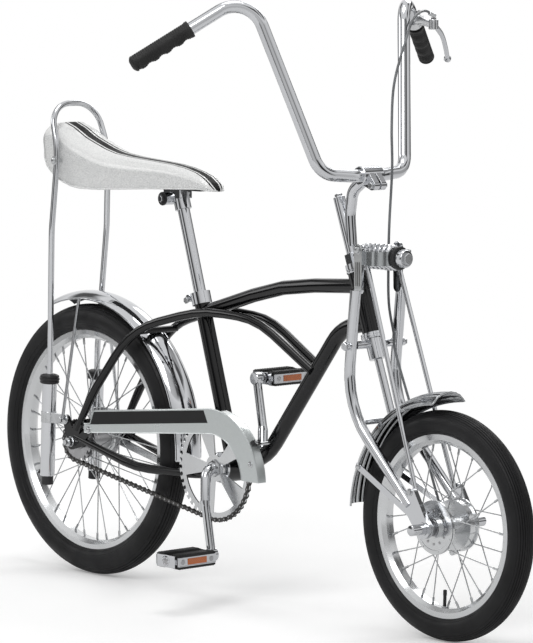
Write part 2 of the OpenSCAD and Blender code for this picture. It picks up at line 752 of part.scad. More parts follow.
// the spring carrier's ring and the nut above it, over the head tube's top
ring_low = 6.4;
nut_low = 16;
ring_h = nut_low - ring_low - fit;
module headset() color(chrome) from_rider() on_steering() difference() {
  union() {
    translate([0, 0, head_low - cup_h]) cylinder(h = cup_h - fit, r = 20, $fn = round_fn);
    translate([0, 0, head_high + fit]) cylinder(h = ring_low - 2 * fit, r = head_tube_d / 2, $fn = round_fn);
    translate([0, 0, head_high + nut_low]) cylinder(h = headset_h - nut_low, r = 15, $fn = 6);
  }
  translate([0, 0, head_low - 20]) cylinder(h = head_tube_len + 80, r = steerer_r + fit, $fn = round_fn);
}

pivot = [0, fork_len - 9];
pivot_r = 7;
module steerer() color(chrome) from_rider() {
  on_steering() {
    translate([0, 0, fork_len - 36]) cylinder(h = head_high + headset_h - fork_len + 36 - 1, r = steerer_r, $fn = round_fn);
    translate([0, 0, fork_len - 36]) cylinder(h = 36 - fit, r = 15, $fn = round_fn);
  }
  across(steer(pivot.x, pivot.y), 0, leg_gap - leg_d - 2 * fit, pivot_r);
}

/* sprung fork */
// corners of a leg: [forward of the steering axis, up it]
leg_top = [42, fork_len + 78];
leg_knee = [-46, fork_len - 104];
leg_foot = [fork_offset - 19, 46];
plate_top = [65, fork_len + 142];
plate_y = leg_gap / 2 - 8;
strap_t = 3;
module fork_leg() difference() {
  union() {
    bent_tube(
      [
        steer3(leg_top.x, -leg_gap / 2, leg_top.y),
        steer3(leg_knee.x, -leg_gap / 2, leg_knee.y),
        steer3(leg_foot.x, -leg_gap / 2, leg_foot.y)
      ],
      [150], [leg_d / 2, leg_d / 2 - 1]);
    side_sheet(5, -plate_y) link_outline(steer(leg_top.x, leg_top.y), steer(plate_top.x, plate_top.y), 9, 10);
    // end plate that holds the axle and the truss rod's foot
    side_sheet(9, -leg_gap / 2) {
      link_outline(front_axle_at, steer(leg_foot.x - 2, leg_foot.y + 4), 17, 12);
      link_outline(front_axle_at, steer(fork_offset - 6, 62), 15, 9);
    }
    // bolt at the pivot
    across(steer(pivot.x, pivot.y), -leg_gap / 2 - leg_d / 2, 8, pivot_r);
  }
  across(front_axle_at, -leg_gap / 2, 40, axle_r + fit);
}
module fork_leg_right() color(chrome) from_rider() fork_leg();
module fork_leg_left() color(chrome) from_rider() to_left() fork_leg();

rod_y = plate_y - 2.5 - 2 * fit - strap_t - rod_d / 2;
module truss_rods() color(chrome) from_rider() both_sides()
  bar(steer3(66, -rod_y, fork_len + 128), steer3(fork_offset - 7, -leg_gap / 2 + 4.5 + rod_d / 2 + fit, 62), rod_d / 2, thin_fn);

spring_r = spring_d / 2;
spring_rear = steer(25.6, fork_len + 141.6);
spring_at = spring_rear.y;
plate_t = 6;
module spring_carrier() color(chrome) from_rider() difference() {
  union() {
    // ring between the head nuts, arm and disc behind the spring, and rod through it
    on_steering() translate([0, 0, head_high + ring_low]) cylinder(h = ring_h, r = 18, $fn = round_fn);
    translate([spring_rear.x - plate_t - fit, 0, spring_at]) rotate([0, 90, 0]) cylinder(h = plate_t, r = 19, $fn = round_fn);
    on_steering() translate([0, -10, head_high + ring_low]) cube([17, 20, ring_h]);
    translate([spring_rear.x - plate_t, 0, spring_at]) rotate([0, 90, 0])
      cylinder(h = spring_len + plate_t + 24, r = 5, $fn = thin_fn);
  }
  on_steering() translate([0, 0, head_high - 5]) cylinder(h = 30, r = steerer_r + fit, $fn = round_fn);
}

// a round wire wound from its first ring to its last, about +Z
coil_turns = 7;
coil_steps = 14;
coil_sides = 8;
module coil(len, r, wire_r) {
  n = coil_turns * coil_steps;
  faces = [
    [for (k = [coil_sides - 1:-1:0]) k],
    [for (k = [0:coil_sides - 1]) n * coil_sides + k],
    for (i = [0:n - 1], k = [0:coil_sides - 1]) let (l = (k + 1) % coil_sides)
      each [
        [i * coil_sides + k, (i + 1) * coil_sides + l, (i + 1) * coil_sides + k],
        [i * coil_sides + k, i * coil_sides + l, (i + 1) * coil_sides + l]
      ]
  ];
  polyhedron([
    for (i = [0:n], k = [0:coil_sides - 1])
      let (
        turn = 360 * i / coil_steps, side = 360 * k / coil_sides,
        out = r - wire_r + wire_r * cos(side),
        up = wire_r + (len - 2 * wire_r) * i / n + wire_r * sin(side)
      )
      [out * cos(turn), out * sin(turn), up]
  ], faces);
}
module fork_spring() color(chrome) from_rider()
  translate([spring_rear.x, 0, spring_at]) rotate([0, 90, 0]) coil(spring_len, spring_r, spring_wire_d / 2);

// a strap in the shape of a U from one leg's plate round the spring's front to the other's
strap_h = 24;
strap_half = plate_y - 2.5 - fit;
strap_front = spring_rear.x + spring_len + fit + strap_t;
strap_back = steer(plate_top.x, plate_top.y).x - 8;
strap_bend = 22;
module strap_outline(inset) {
  half = strap_half - inset;
  bend = strap_bend - inset;
  front = strap_front - inset;
  translate([strap_back - inset, -half]) square([front - bend - strap_back + inset, 2 * half]);
  translate([front - bend - 1, bend - half]) square([bend + 1, 2 * (half - bend)]);
  for (side = [-1, 1]) translate([front - bend, side * (half - bend)]) circle(r = bend, $fn = round_fn);
}
module spring_strap() color(chrome) from_rider() difference() {
  union() {
    translate([0, 0, spring_at - strap_h / 2]) linear_extrude(strap_h) difference() {
      strap_outline(0);
      strap_outline(strap_t);
    }
    translate([strap_front, 0, spring_at]) rotate([0, 90, 0]) cylinder(h = 6, r = 19, $fn = round_fn);
    translate([strap_front + 6, 0, spring_at]) rotate([0, 90, 0]) cylinder(h = 14, r = 15, $fn = 6);
  }
  translate([strap_front - 30, 0, spring_at]) rotate([0, 90, 0]) cylinder(h = 52, r = 5 + fit, $fn = thin_fn);
}

front_fender_crown = 13;
front_fender_r = front_r + front_fender_gap + fender_t;
module front_fender() color(chrome) from_rider()
  at(front_axle_at) fender_shell(front_fender_r, front_fender_w, front_fender_crown, 79, 176);

// where the fork legs' inner faces and end plates leave room
leg_in_y = (leg_gap - leg_d) / 2 - fit;
end_plate_t = 9;
end_in_y = (leg_gap - end_plate_t) / 2 - fit;
brace_foot = front_axle_at + [-18, 10];
brace_eye_t = 2;
module front_fender_braces() color(chrome) from_rider() {
  both_sides() difference() {
    union() {
      side_sheet(brace_eye_t, -end_in_y + brace_eye_t / 2) link_outline(front_axle_at, brace_foot, 9, 5);
      bar(
        flat3(brace_foot, -end_in_y + stay_r + 0.5),
        flat3(front_axle_at + (front_fender_r - front_fender_crown) * [cos(150), sin(150)], -front_fender_w / 2 - stay_r - fit),
        stay_r, thin_fn);
    }
    across(front_axle_at, -end_in_y, 9, axle_r + fit);
  }
  // bridge between the legs above the fender
  across(front_axle_at + (front_fender_r + 5 + fit) * [cos(134), sin(134)], 0, 2 * leg_in_y, 5, thin_fn);
}

front_axle_half = 84;
front_cone_len = 9;
module front_axle() color(chrome) from_rider() {
  across(front_axle_at, 0, 2 * front_axle_half, axle_r);
  both_sides() {
    across(front_axle_at, -(leg_gap + end_plate_t) / 2 - fit - 13, 26, 9);
    across(front_axle_at, -end_in_y + brace_eye_t + fit + front_cone_len / 2, front_cone_len, 8);
  }
}

brake_plate_t = 4;
brake_plate_y = flange_y + flange_t / 2 + 1 + brake_plate_t / 2;
cam_at = front_axle_at + [-10, -17];
cam_arm_y = 40.5;
cable_end = [906, cam_arm_y + 4.2, 151.6];
module brake_plate() color(steel) from_rider() difference() {
  union() {
    across(front_axle_at, brake_plate_y, brake_plate_t, drum_r - 10);
    // cam pin, its arm, and the stud that the cable pulls on
    across(cam_at, (brake_plate_y + cam_arm_y) / 2, cam_arm_y - brake_plate_y + 3, 6, thin_fn);
    side_sheet(3, cam_arm_y) link_outline(cam_at, [cable_end.x, cable_end.z - 8], 8, 6);
    across([cable_end.x, cable_end.z - 8], cam_arm_y + 3.2, 9, 5, thin_fn);
  }
  across(front_axle_at, flange_y, 40, axle_r + fit);
}

/* stem and bars */
clamp_at = steer(84, head_high + 149);
stem_r = 12.5;
stem_clamp_r = bar_d / 2 + 5;
module stem() color(chrome) from_rider() difference() {
  union() {
    bent_tube(
      [
        steer3(0, 0, head_high + headset_h), steer3(0, 0, head_high + 62), steer3(10, 0, head_high + 134),
        flat3(clamp_at, 0)
      ],
      [120, 44], stem_r);
    across(clamp_at, 0, 46, stem_clamp_r);
  }
  across(clamp_at, 0, 50, bar_d / 2 + fit);
}

// corners of the bars' left half from the clamp: [forward, left, up]
bar_end = [-213, bar_w / 2, 191];
bar_high = [-104, 181, bar_rise];
bar_low = [-14, 99, 4];
bar_mid = [0, 34, 0];
function mirrored(p) = [p.x, -p.y, p.z];
bar_half = [bar_end, bar_high, bar_low, bar_mid];
module handlebar() color(chrome) from_rider() at(clamp_at) bent_tube(
  concat([for (p = bar_half) p], [for (i = [3:-1:0]) mirrored(bar_half[i])]),
  [50, 40, 60, 60, 40, 50], bar_d / 2);

grip_dir = unit(bar_high - bar_end);
grip_over = 4;
module grip() difference() {
  bar(bar_end - grip_over * grip_dir, bar_end + (grip_len - grip_over) * grip_dir, grip_d / 2);
  bar(bar_end, bar_end + grip_len * grip_dir, bar_d / 2 + fit);
}
module grip_left() color(rubber) from_rider() at(clamp_at) grip();
module grip_right() color(rubber) from_rider() at(clamp_at) to_left() grip();

// brake lever in front of the left grip: a perch round the bar and a blade along the grip
perch = bar_end + (grip_len + 12) * grip_dir;
lever_root = perch + [44, 6, -6];
lever_tip = bar_end + 26 * grip_dir + [52, 8, -14];
module brake_lever() color(chrome) from_rider() at(clamp_at) difference() {
  union() {
    bar(perch - 9 * grip_dir, perch + 9 * grip_dir, bar_d / 2 + 4);
    bar(perch + [10, 0, 0], lever_root, 6.5);
    bar(lever_root - [0, 0, 9], lever_root + [0, 0, 9], 9);
    bar(lever_root, lever_tip, 4.5);
    translate(lever_tip) sphere(r = 7, $fn = round_fn);
  }
  bar(perch - 30 * grip_dir, perch + 30 * grip_dir, bar_d / 2 + fit);
}

// the brake cable's route from the lever to the drum, above the ground
cable_route = [
  [640, 252, 1048], [636, 232, 1056], [664, 178, 1042], [703, 116, 992], [722, 76, 930], [744, 50, 860],
  [760, 36, 790], [758, 32, 700], [756, 32, 640], [757, 32, 560], [769, 33, 505], [771, 34, 478],
  [806, 36, 390], [852, 35.5, 290], [876, 36, 232], [894, 42.5, 190], cable_end
];
module brake_cable() color(rubber) from_rider()
  bent_tube(cable_route, [for (i = [1:len(cable_route) - 2]) 12], 2.2, 8);

head_tube();
top_tube();
down_tube();
seat_tube();
curved_tube_right();
curved_tube_left();
bottom_bracket();
chain_stay_right();
chain_stay_left();
frame_end_right();
frame_end_left();
rear_axle();
seat_clamp();
seat_post();
saddle_clamp();
saddle_pan();
saddle_pad();
hoop();
strut_right();
strut_left();
rear_fender();
rear_fender_stays();
chain_guard();
chain();
coaster_arm();
rear_tyre();
rear_rim();
rear_spoking();
rear_hub();
rear_cog();
chainring();
crank();
pedal_right();
pedal_left();
headset();
steerer();
fork_leg_right();
fork_leg_left();
truss_rods();
spring_carrier();
fork_spring();
spring_strap();
front_fender();
front_fender_braces();
front_axle();
brake_plate();
stem();
handlebar();
grip_right();
grip_left();
brake_lever();
brake_cable();
front_tyre();
front_rim();
front_spoking();
front_hub();
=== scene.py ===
import json
import math

import bmesh
import bpy
import numpy as np
from mathutils import Matrix, Vector

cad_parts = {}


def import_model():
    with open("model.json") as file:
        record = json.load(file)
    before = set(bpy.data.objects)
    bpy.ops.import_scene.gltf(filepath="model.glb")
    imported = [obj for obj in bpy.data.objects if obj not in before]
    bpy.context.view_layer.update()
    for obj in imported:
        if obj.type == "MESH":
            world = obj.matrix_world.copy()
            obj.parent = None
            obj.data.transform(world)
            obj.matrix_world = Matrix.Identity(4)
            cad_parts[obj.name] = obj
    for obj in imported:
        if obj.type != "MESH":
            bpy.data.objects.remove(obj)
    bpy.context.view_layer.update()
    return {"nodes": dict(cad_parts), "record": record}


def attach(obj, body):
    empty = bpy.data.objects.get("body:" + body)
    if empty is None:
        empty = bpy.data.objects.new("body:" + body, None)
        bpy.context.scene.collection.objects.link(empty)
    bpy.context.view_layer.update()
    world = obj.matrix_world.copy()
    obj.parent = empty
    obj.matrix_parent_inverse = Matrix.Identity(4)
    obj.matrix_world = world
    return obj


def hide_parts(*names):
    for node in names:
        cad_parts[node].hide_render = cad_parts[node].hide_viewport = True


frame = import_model()
nodes = frame["nodes"]


# ---- places, in mm above the ground with the rear axle at x = 0, as in the part's source ----
def world(x, y, z):
    """A point in mm, in the row frame's metres."""
    return Vector(((x - 120) / 1000, y / 1000, (z - 786) / 1000))


HEAD = math.radians(70)
UP = Vector((-math.cos(HEAD), 0, math.sin(HEAD)))
FORE = Vector((math.sin(HEAD), 0, math.cos(HEAD)))
REAR = Vector((0, 0, 254))
FRONT = Vector((934, 0, 196))
CRANK = Vector((392, 0, 243))
FOOT = FRONT - 67 * FORE
LEFT = Vector((0, 1, 0))


def steer(u, y, s):
    return FOOT + u * FORE + s * UP + Vector((0, y, 0))


CLAMP = steer(84, 0, 614)


# ---- materials ----
def shader(name, color, metallic=0.0, rough=0.4, coat=0.0, coat_rough=0.03, specular=0.5):
    m = bpy.data.materials.new(name)
    m.use_nodes = True
    b = m.node_tree.nodes["Principled BSDF"]
    b.inputs["Base Color"].default_value = (*color, 1)
    b.inputs["Metallic"].default_value = metallic
    b.inputs["Roughness"].default_value = rough
    b.inputs["Coat Weight"].default_value = coat
    b.inputs["Coat Roughness"].default_value = coat_rough
    b.inputs["Specular IOR Level"].default_value = specular
    return m, m.node_tree, b


def add(tree, kind, **sockets):
    n = tree.nodes.new(kind)
    for key, value in sockets.items():
        if key in n.inputs:
            n.inputs[key].default_value = value
        else:
            setattr(n, key, value)
    return n


def coordinates(tree):
    return add(tree, "ShaderNodeTexCoord").outputs["Object"]


def noise(tree, scale, detail=3.0, stretch=None):
    n = add(tree, "ShaderNodeTexNoise", Scale=scale, Detail=detail)
    where = coordinates(tree)
    if stretch:
        mapping = add(tree, "ShaderNodeMapping")
        mapping.inputs["Scale"].default_value = stretch
        tree.links.new(where, mapping.inputs["Vector"])
        where = mapping.outputs["Vector"]
    tree.links.new(where, n.inputs["Vector"])
    return n.outputs["Fac"]


def ramp(tree, source, low, high, start=0.35, end=0.65):
    r = add(tree, "ShaderNodeMapRange")
    r.inputs["From Min"].default_value = start
    r.inputs["From Max"].default_value = end
    r.inputs["To Min"].default_value = low
    r.inputs["To Max"].default_value = high
    tree.links.new(source, r.inputs["Value"])
    return r.outputs["Result"]


def mix(tree, factor, a, b):
    """A colour between a and b, each a colour or a socket."""
    m = add(tree, "ShaderNodeMix", data_type="RGBA")
    tree.links.new(factor, m.inputs["Factor"])
    for value, socket in ((a, m.inputs["A"]), (b, m.inputs["B"])):
        if isinstance(value, tuple):
            socket.default_value = (*value, 1)
        else:
            tree.links.new(value, socket)
    return m.outputs["Result"]


def bump(tree, b, height, distance, strength=1.0):
    n = add(tree, "ShaderNodeBump", Distance=distance, Strength=strength)
    tree.links.new(height, n.inputs["Height"])
    tree.links.new(n.outputs["Normal"], b.inputs["Normal"])


def metal(name, color, rough, spread, grain=None, scale=14.0, coat=0.0):
    m, t, b = shader(name, color, 1.0, rough, coat)
    smear = noise(t, scale, 4.0, grain)
    t.links.new(ramp(t, smear, rough - spread, rough + spread), b.inputs["Roughness"])
    dark = tuple(0.9 * c for c in color)
    t.links.new(mix(t, ramp(t, noise(t, 3.0), 0, 1), dark, color), b.inputs["Base Color"])
    bump(t, b, noise(t, 900.0, 2.0, grain), 0.00002, 0.25)
    return m


chrome = metal("chrome", (0.64, 0.65, 0.67), 0.07, 0.03)
dull_steel = metal("dull_steel", (0.46, 0.46, 0.47), 0.34, 0.08, scale=60.0)
bright_steel = metal("bright_steel", (0.58, 0.59, 0.6), 0.22, 0.06, scale=40.0)
alloy = metal("alloy", (0.68, 0.69, 0.7), 0.2, 0.05, (1, 12, 1))
chain_steel = metal("chain_steel", (0.09, 0.088, 0.086), 0.38, 0.1, scale=80.0)
fender_chrome = metal("fender_chrome", (0.46, 0.47, 0.48), 0.08, 0.03)
strap_chrome = metal("strap_chrome", (0.5, 0.52, 0.53), 0.24, 0.05)
plate_alloy = metal("plate_alloy", (0.6, 0.61, 0.61), 0.4, 0.06, scale=50.0)


def paint(name, color, metallic, rough, flake=None, coat=1.0, specular=0.5):
    m, t, b = shader(name, color, metallic, rough, coat, 0.04, specular)
    t.links.new(ramp(t, noise(t, 9.0, 5.0), rough - 0.04, rough + 0.08), b.inputs["Roughness"])
    if flake:
        cells = add(t, "ShaderNodeTexVoronoi", Scale=flake)
        t.links.new(coordinates(t), cells.inputs["Vector"])
        shade = add(t, "ShaderNodeSeparateColor")
        t.links.new(cells.outputs["Color"], shade.inputs["Color"])
        lit = tuple(min(1.0, 1.25 * c) for c in color)
        t.links.new(mix(t, shade.outputs["Red"], color, lit), b.inputs["Base Color"])
    else:
        t.links.new(mix(t, ramp(t, noise(t, 5.0), 0, 1), color, tuple(1.5 * c for c in color)), b.inputs["Base Color"])
    bump(t, b, noise(t, 260.0, 2.0), 0.00003, 0.2)
    return m


black_paint = paint("black_paint", (0.003, 0.003, 0.0035), 0.0, 0.1, coat=0.0, specular=0.42)
silver_paint = paint("silver_paint", (0.50, 0.53, 0.53), 0.75, 0.3, 2600.0)
black_panel = paint("black_panel", (0.004, 0.004, 0.0045), 0.0, 0.32, coat=0.0, specular=0.3)


def rubber(name, color, rough, grain, depth, specular=0.25):
    m, t, b = shader(name, color, 0.0, rough, specular=specular)
    t.links.new(ramp(t, noise(t, 30.0, 6.0), rough - 0.1, rough + 0.1), b.inputs["Roughness"])
    t.links.new(mix(t, ramp(t, noise(t, 12.0, 5.0), 0, 1), color, tuple(1.9 * c for c in color)), b.inputs["Base Color"])
    cells = add(t, "ShaderNodeTexVoronoi", Scale=grain)
    t.links.new(coordinates(t), cells.inputs["Vector"])
    bump(t, b, cells.outputs["Distance"], depth, 0.6)
    return m


tyre_rubber = rubber("tyre_rubber", (0.006, 0.006, 0.0065), 0.5, 1500.0, 0.00008)
cable_grey = rubber("cable_grey", (0.11, 0.115, 0.12), 0.35, 1200.0, 0.00003)
band_black = rubber("band_black", (0.004, 0.004, 0.004), 0.45, 900.0, 0.00005, 0.08)
grip_rubber = rubber("grip_rubber", (0.014, 0.014, 0.014), 0.5, 700.0, 0.0003)
soft_plastic = rubber("soft_plastic", (0.02, 0.02, 0.021), 0.35, 1200.0, 0.00005)


def sparkle(name, color, dark, cells_scale, gloss):
    """Vinyl with metal flakes under a clear skin."""
    m, t, b = shader(name, color, 0.0, 0.32, 0.7, gloss)
    cells = add(t, "ShaderNodeTexVoronoi", Scale=cells_scale)
    t.links.new(coordinates(t), cells.inputs["Vector"])
    shade = add(t, "ShaderNodeSeparateColor")
    t.links.new(cells.outputs["Color"], shade.inputs["Color"])
    flake = mix(t, ramp(t, shade.outputs["Green"], 0, 1, 0.2, 0.95), color, dark)
    bump(t, b, noise(t, 420.0, 5.0), 0.00012, 0.35)
    return m, t, b, flake, shade


def seat_vinyl(name, color, dark, gloss):
    m, t, b, flake, shade = sparkle(name, color, dark, 1300.0, gloss)
    t.links.new(flake, b.inputs["Base Color"])
    t.links.new(ramp(t, shade.outputs["Blue"], 0.25, 0.45, 0.0, 1.0), b.inputs["Roughness"])
    return m


vinyl = seat_vinyl("seat_vinyl", (0.9, 0.9, 0.89), (0.66, 0.67, 0.67), 0.12)
vinyl_side = seat_vinyl("side_vinyl", (0.86, 0.865, 0.86), (0.5, 0.51, 0.51), 0.2)


def reflector():
    m, t, b = shader("amber", (0.85, 0.2, 0.02), 0.0, 0.15, 0.6)
    cells = add(t, "ShaderNodeTexChecker", Scale=420.0)
    t.links.new(coordinates(t), cells.inputs["Vector"])
    t.links.new(mix(t, cells.outputs["Fac"], (0.36, 0.075, 0.01), (0.6, 0.16, 0.03)), b.inputs["Base Color"])
    bump(t, b, cells.outputs["Fac"], 0.0002, 0.5)
    return m


amber = reflector()


# ---- smooth shading of the solids that stay: normals are averaged within an angle ----
def smooth_solid(o, angle=38.0):
    me = o.data
    loops = len(me.loops)
    vertex = np.zeros(loops, np.int64)
    me.loops.foreach_get("vertex_index", vertex)
    co = np.zeros(len(me.vertices) * 3)
    me.vertices.foreach_get("co", co)
    _, group = np.unique(np.round(co.reshape(-1, 3) * 1e5).astype(np.int64), axis=0, return_inverse=True)
    group = group.reshape(-1)[vertex]
    total = np.zeros(len(me.polygons), np.int64)
    me.polygons.foreach_get("loop_total", total)
    normal = np.zeros(len(me.polygons) * 3)
    me.polygons.foreach_get("normal", normal)
    area = np.zeros(len(me.polygons))
    me.polygons.foreach_get("area", area)
    face = np.repeat(np.arange(len(me.polygons)), total)
    n = normal.reshape(-1, 3)[face]
    a = area[face]
    out = n.copy()
    order = np.argsort(group, kind="stable")
    starts = np.flatnonzero(np.r_[True, np.diff(group[order]) > 0])
    sizes = np.diff(np.r_[starts, loops])
    limit = math.cos(math.radians(angle))
    for size in np.unique(sizes):
        if size < 2 or size > 400:
            continue
        rows = order[starts[sizes == size][:, None] + np.arange(size)[None, :]]
        for part in np.array_split(rows, max(1, len(rows) * size * size // 4000000)):
            v = n[part]
            near = np.einsum("gik,gjk->gij", v, v) > limit
            out[part] = np.einsum("gij,gjk,gj->gik", near, v, a[part])
    length = np.linalg.norm(out, axis=1, keepdims=True)
    out = np.where(length > 1e-12, out / np.maximum(length, 1e-12), n)
    me.polygons.foreach_set("use_smooth", np.ones(len(me.polygons), bool))
    me.normals_split_custom_set(out.tolist())


# ---- mesh making, in mm ----
def basis(axis):
    z = Vector(axis).normalized()
    x = (Vector((0, 1, 0)) if abs(z.y) < 0.9 else Vector((1, 0, 0))).cross(z).normalized()
    return x, z.cross(x), z


class Form:
    """Collects faces of one piece, in mm, each with a material of its own."""

    def __init__(self, name, body, *materials):
        self.name, self.body, self.materials = name, body, list(materials)
        self.verts, self.faces, self.mats = [], [], []

    def grid(self, rings, mat=0, closed=True, caps=True, loop=False):
        """Quads between rings of points; closed joins each ring's ends, loop the last ring to the first."""
        base, n, count = len(self.verts), len(rings[0]), len(rings)
        for ring in rings:
            self.verts += [Vector(p) for p in ring]
        for i in range(count if loop else count - 1):
            for k in range(n if closed else n - 1):
                a, b = base + i * n, base + (i + 1) % count * n
                l = (k + 1) % n
                self.faces.append((a + k, a + l, b + l, b + k))
                self.mats.append(mat)
        if caps and closed and not loop:
            self.faces.append(tuple(base + k for k in reversed(range(n))))
            self.faces.append(tuple(base + (count - 1) * n + k for k in range(n)))
            self.mats += [mat, mat]
        return self

    def lathe(self, at, axis, profile, sides=48, mat=0, loop=False):
        """profile holds (distance along the axis, radius)."""
        x, y, z = basis(axis)
        rings = []
        for t, r in profile:
            rings.append([
                Vector(at) + z * t + r * (x * math.cos(g) + y * math.sin(g))
                for g in (2 * math.pi * k / sides for k in range(sides))
            ])
        return self.grid(rings, mat, loop=loop)

    def rod(self, a, b, r, sides=24, mat=0, edge=0.6):
        a, b = Vector(a), Vector(b)
        length = (b - a).length
        profile = [(0, r - edge), (edge, r), (length - edge, r), (length, r - edge)]
        return self.lathe(a, b - a, profile, sides, mat)

    def tube(self, points, r, sides=16, mat=0, loop=False):
        """A tube along points; r is a number or one for each point."""
        pts = [Vector(p) for p in points]
        n = len(pts)
        radii = r if isinstance(r, (list, tuple)) else [r] * n
        dirs = []
        for i in range(n):
            a = pts[(i - 1) % n] if loop else pts[max(i - 1, 0)]
            b = pts[(i + 1) % n] if loop else pts[min(i + 1, n - 1)]
            dirs.append((b - a).normalized())
        u = basis(dirs[0])[0]
        rings = []
        for p, d, radius in zip(pts, dirs, radii):
            u = (u - u.dot(d) * d).normalized()
            v = d.cross(u)
            rings.append([
                p + radius * (u * math.cos(g) + v * math.sin(g))
                for g in (2 * math.pi * k / sides for k in range(sides))
            ])
        return self.grid(rings, mat, loop=loop)

    def sheet(self, outline, y0, y1, mat=0):
        """A flat outline of (x, z) points between two distances from the middle."""
        low = [Vector((x, y0, z)) for x, z in outline]
        high = [Vector((x, y1, z)) for x, z in outline]
        return self.grid([low, high], mat)

    def box(self, centre, size, mat=0, x=(1, 0, 0), z=(0, 0, 1)):
        x, z = Vector(x).normalized(), Vector(z).normalized()
        y = z.cross(x)
        c = Vector(centre)
        rings = []
        for side in (-0.5, 0.5):
            rings.append([
                c + x * (i * size[0]) + y * (j * size[1]) + z * (side * size[2])
                for i, j in ((-0.5, -0.5), (0.5, -0.5), (0.5, 0.5), (-0.5, 0.5))
            ])
        return self.grid(rings, mat)

    def hexagon(self, at, axis, r, h, mat=0):
        """A hexagon nut or bolt head with its corners turned off."""
        x, y, z = basis(axis)
        rings = []
        for t, scale in ((0, 0.93), (0.1 * h, 1), (0.82 * h, 1), (h, 0.88), (h, 0.3)):
            rings.append([
                Vector(at) + z * t + r * scale * (x * math.cos(g) + y * math.sin(g))
                for g in (math.pi * k / 3 for k in range(6))
            ])
        return self.grid(rings, mat)

    def make(self, bevel=0.0, angle=35.0, replaces=()):
        me = bpy.data.meshes.new(self.name)
        me.from_pydata([tuple(world(*v)) for v in self.verts], [], self.faces)
        for m in self.materials:
            me.materials.append(m)
        me.polygons.foreach_set("material_index", self.mats)
        bm = bmesh.new()
        bm.from_mesh(me)
        bmesh.ops.recalc_face_normals(bm, faces=bm.faces)
        bm.to_mesh(me)
        bm.free()
        me.polygons.foreach_set("use_smooth", [True] * len(me.polygons))
        me.set_sharp_from_angle(angle=math.radians(angle))
        o = bpy.data.objects.new(self.name, me)
        bpy.context.scene.collection.objects.link(o)
        if bevel:
            b = o.modifiers.new("edges", "BEVEL")
            b.width, b.segments, b.limit_method = bevel / 1000, 2, "ANGLE"
            b.angle_limit = math.radians(40)
            b.harden_normals = False
        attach(o, self.body)
        if replaces:
            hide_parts(*replaces)
        return o


def spline(points, steps=8):
    """A smooth curve through points."""
    pts = [Vector(p) for p in points]
    pts = [2 * pts[0] - pts[1], *pts, 2 * pts[-1] - pts[-2]]
    out = []
    for a, b, c, d in zip(pts, pts[1:], pts[2:], pts[3:]):
        for k in range(steps):
            t = k / steps
            out.append(0.5 * (2 * b + (c - a) * t + (2 * a - 5 * b + 4 * c - d) * t * t + (3 * b - a - 3 * c + d) * t ** 3))
    out.append(pts[-2])
    return out


def bend(points, radii, steps=8):
    """A path of straight runs with a round bend at each inner point."""
    pts = [Vector(p) for p in points]
    out = [pts[0]]
    for a, b, c, r in zip(pts, pts[1:], pts[2:], radii):
        u, v = (a - b).normalized(), (c - b).normalized()
        half = u.angle(v) / 2
        centre = b + (u + v).normalized() * (r / math.sin(half))
        p, q = b + u * (r / math.tan(half)) - centre, b + v * (r / math.tan(half)) - centre
        whole = p.angle(q)
        for k in range(steps + 1):
            t = k / steps
            out.append(centre + (p * math.sin((1 - t) * whole) + q * math.sin(t * whole)) / math.sin(whole))
    out.append(pts[-1])
    return out


def link(a, b, ra, rb, steps=14):
    """(x, z) outline round two circles."""
    turn = math.atan2(b[1] - a[1], b[0] - a[0])
    off = math.acos((ra - rb) / math.hypot(b[0] - a[0], b[1] - a[1]))
    out = []
    for centre, r, start, sweep in ((a, ra, turn + off, 2 * math.pi - 2 * off), (b, rb, turn - off, 2 * off)):
        for k in range(steps + 1):
            g = start + sweep * k / steps
            out.append((centre[0] + r * math.cos(g), centre[1] + r * math.sin(g)))
    return out


def arc(centre, r, a0, a1, steps):
    """(x, z) points on an arc in the side view, angles in degrees up from the front."""
    return [
        (centre[0] + r * math.cos(math.radians(a0 + (a1 - a0) * k / steps)),
         centre[1] + r * math.sin(math.radians(a0 + (a1 - a0) * k / steps)))
        for k in range(steps + 1)
    ]


def value_at(table, t):
    """A smooth value between the pairs of a table."""
    xs = [a for a, _ in table]
    return float(np.interp(t, xs, [b for _, b in table]))


# ---- materials on the solids that stay ----
looks = {
    "black_paint": black_paint, "chrome": chrome, "steel": dull_steel, "silver": silver_paint,
    "aluminium": alloy, "tyre": tyre_rubber, "rubber": grip_rubber, "white_vinyl": vinyl_side,
    "cable_sleeve": cable_grey,
}
own = {"saddle_clamp": chrome, "spring_strap": strap_chrome, "saddle_pan": soft_plastic, "rear_spoking": bright_steel,
       "front_spoking": bright_steel, "chainring": alloy, "coaster_arm": bright_steel, "rear_axle": bright_steel}
slot_of = {s["node"]: s["material_slot"] for s in frame["record"]["subparts"]}
for name, o in nodes.items():
    smooth_solid(o)
    o.data.materials.clear()
    o.data.materials.append(own.get(name, looks[slot_of[name]]))


# ---- saddle ----
SADDLE_TOP = [(-108, 822), (-103, 834), (-92, 842), (-68, 845), (-40, 835), (-8, 819), (17, 810), (50, 799),
              (79, 792), (120, 787), (159, 784), (200, 781), (235, 778), (270, 773), (300, 766), (322, 758),
              (338, 748), (347, 739), (351, 733)]
SADDLE_LOW = [(-108, 802), (-100, 779), (-86, 761), (-64, 746), (-40, 735), (-14, 728), (10, 725), (60, 725),
              (120, 728), (200, 732), (320, 736), (351, 733)]
SADDLE_HALF = [(-108, 28), (-106, 36), (-100, 43), (-88, 48), (-70, 50.5), (-50, 51), (-20, 51), (20, 50.6), (60, 49), (110, 45),
               (160, 40), (220, 34), (280, 29.5), (320, 26), (340, 21), (348, 14), (351, 5)]


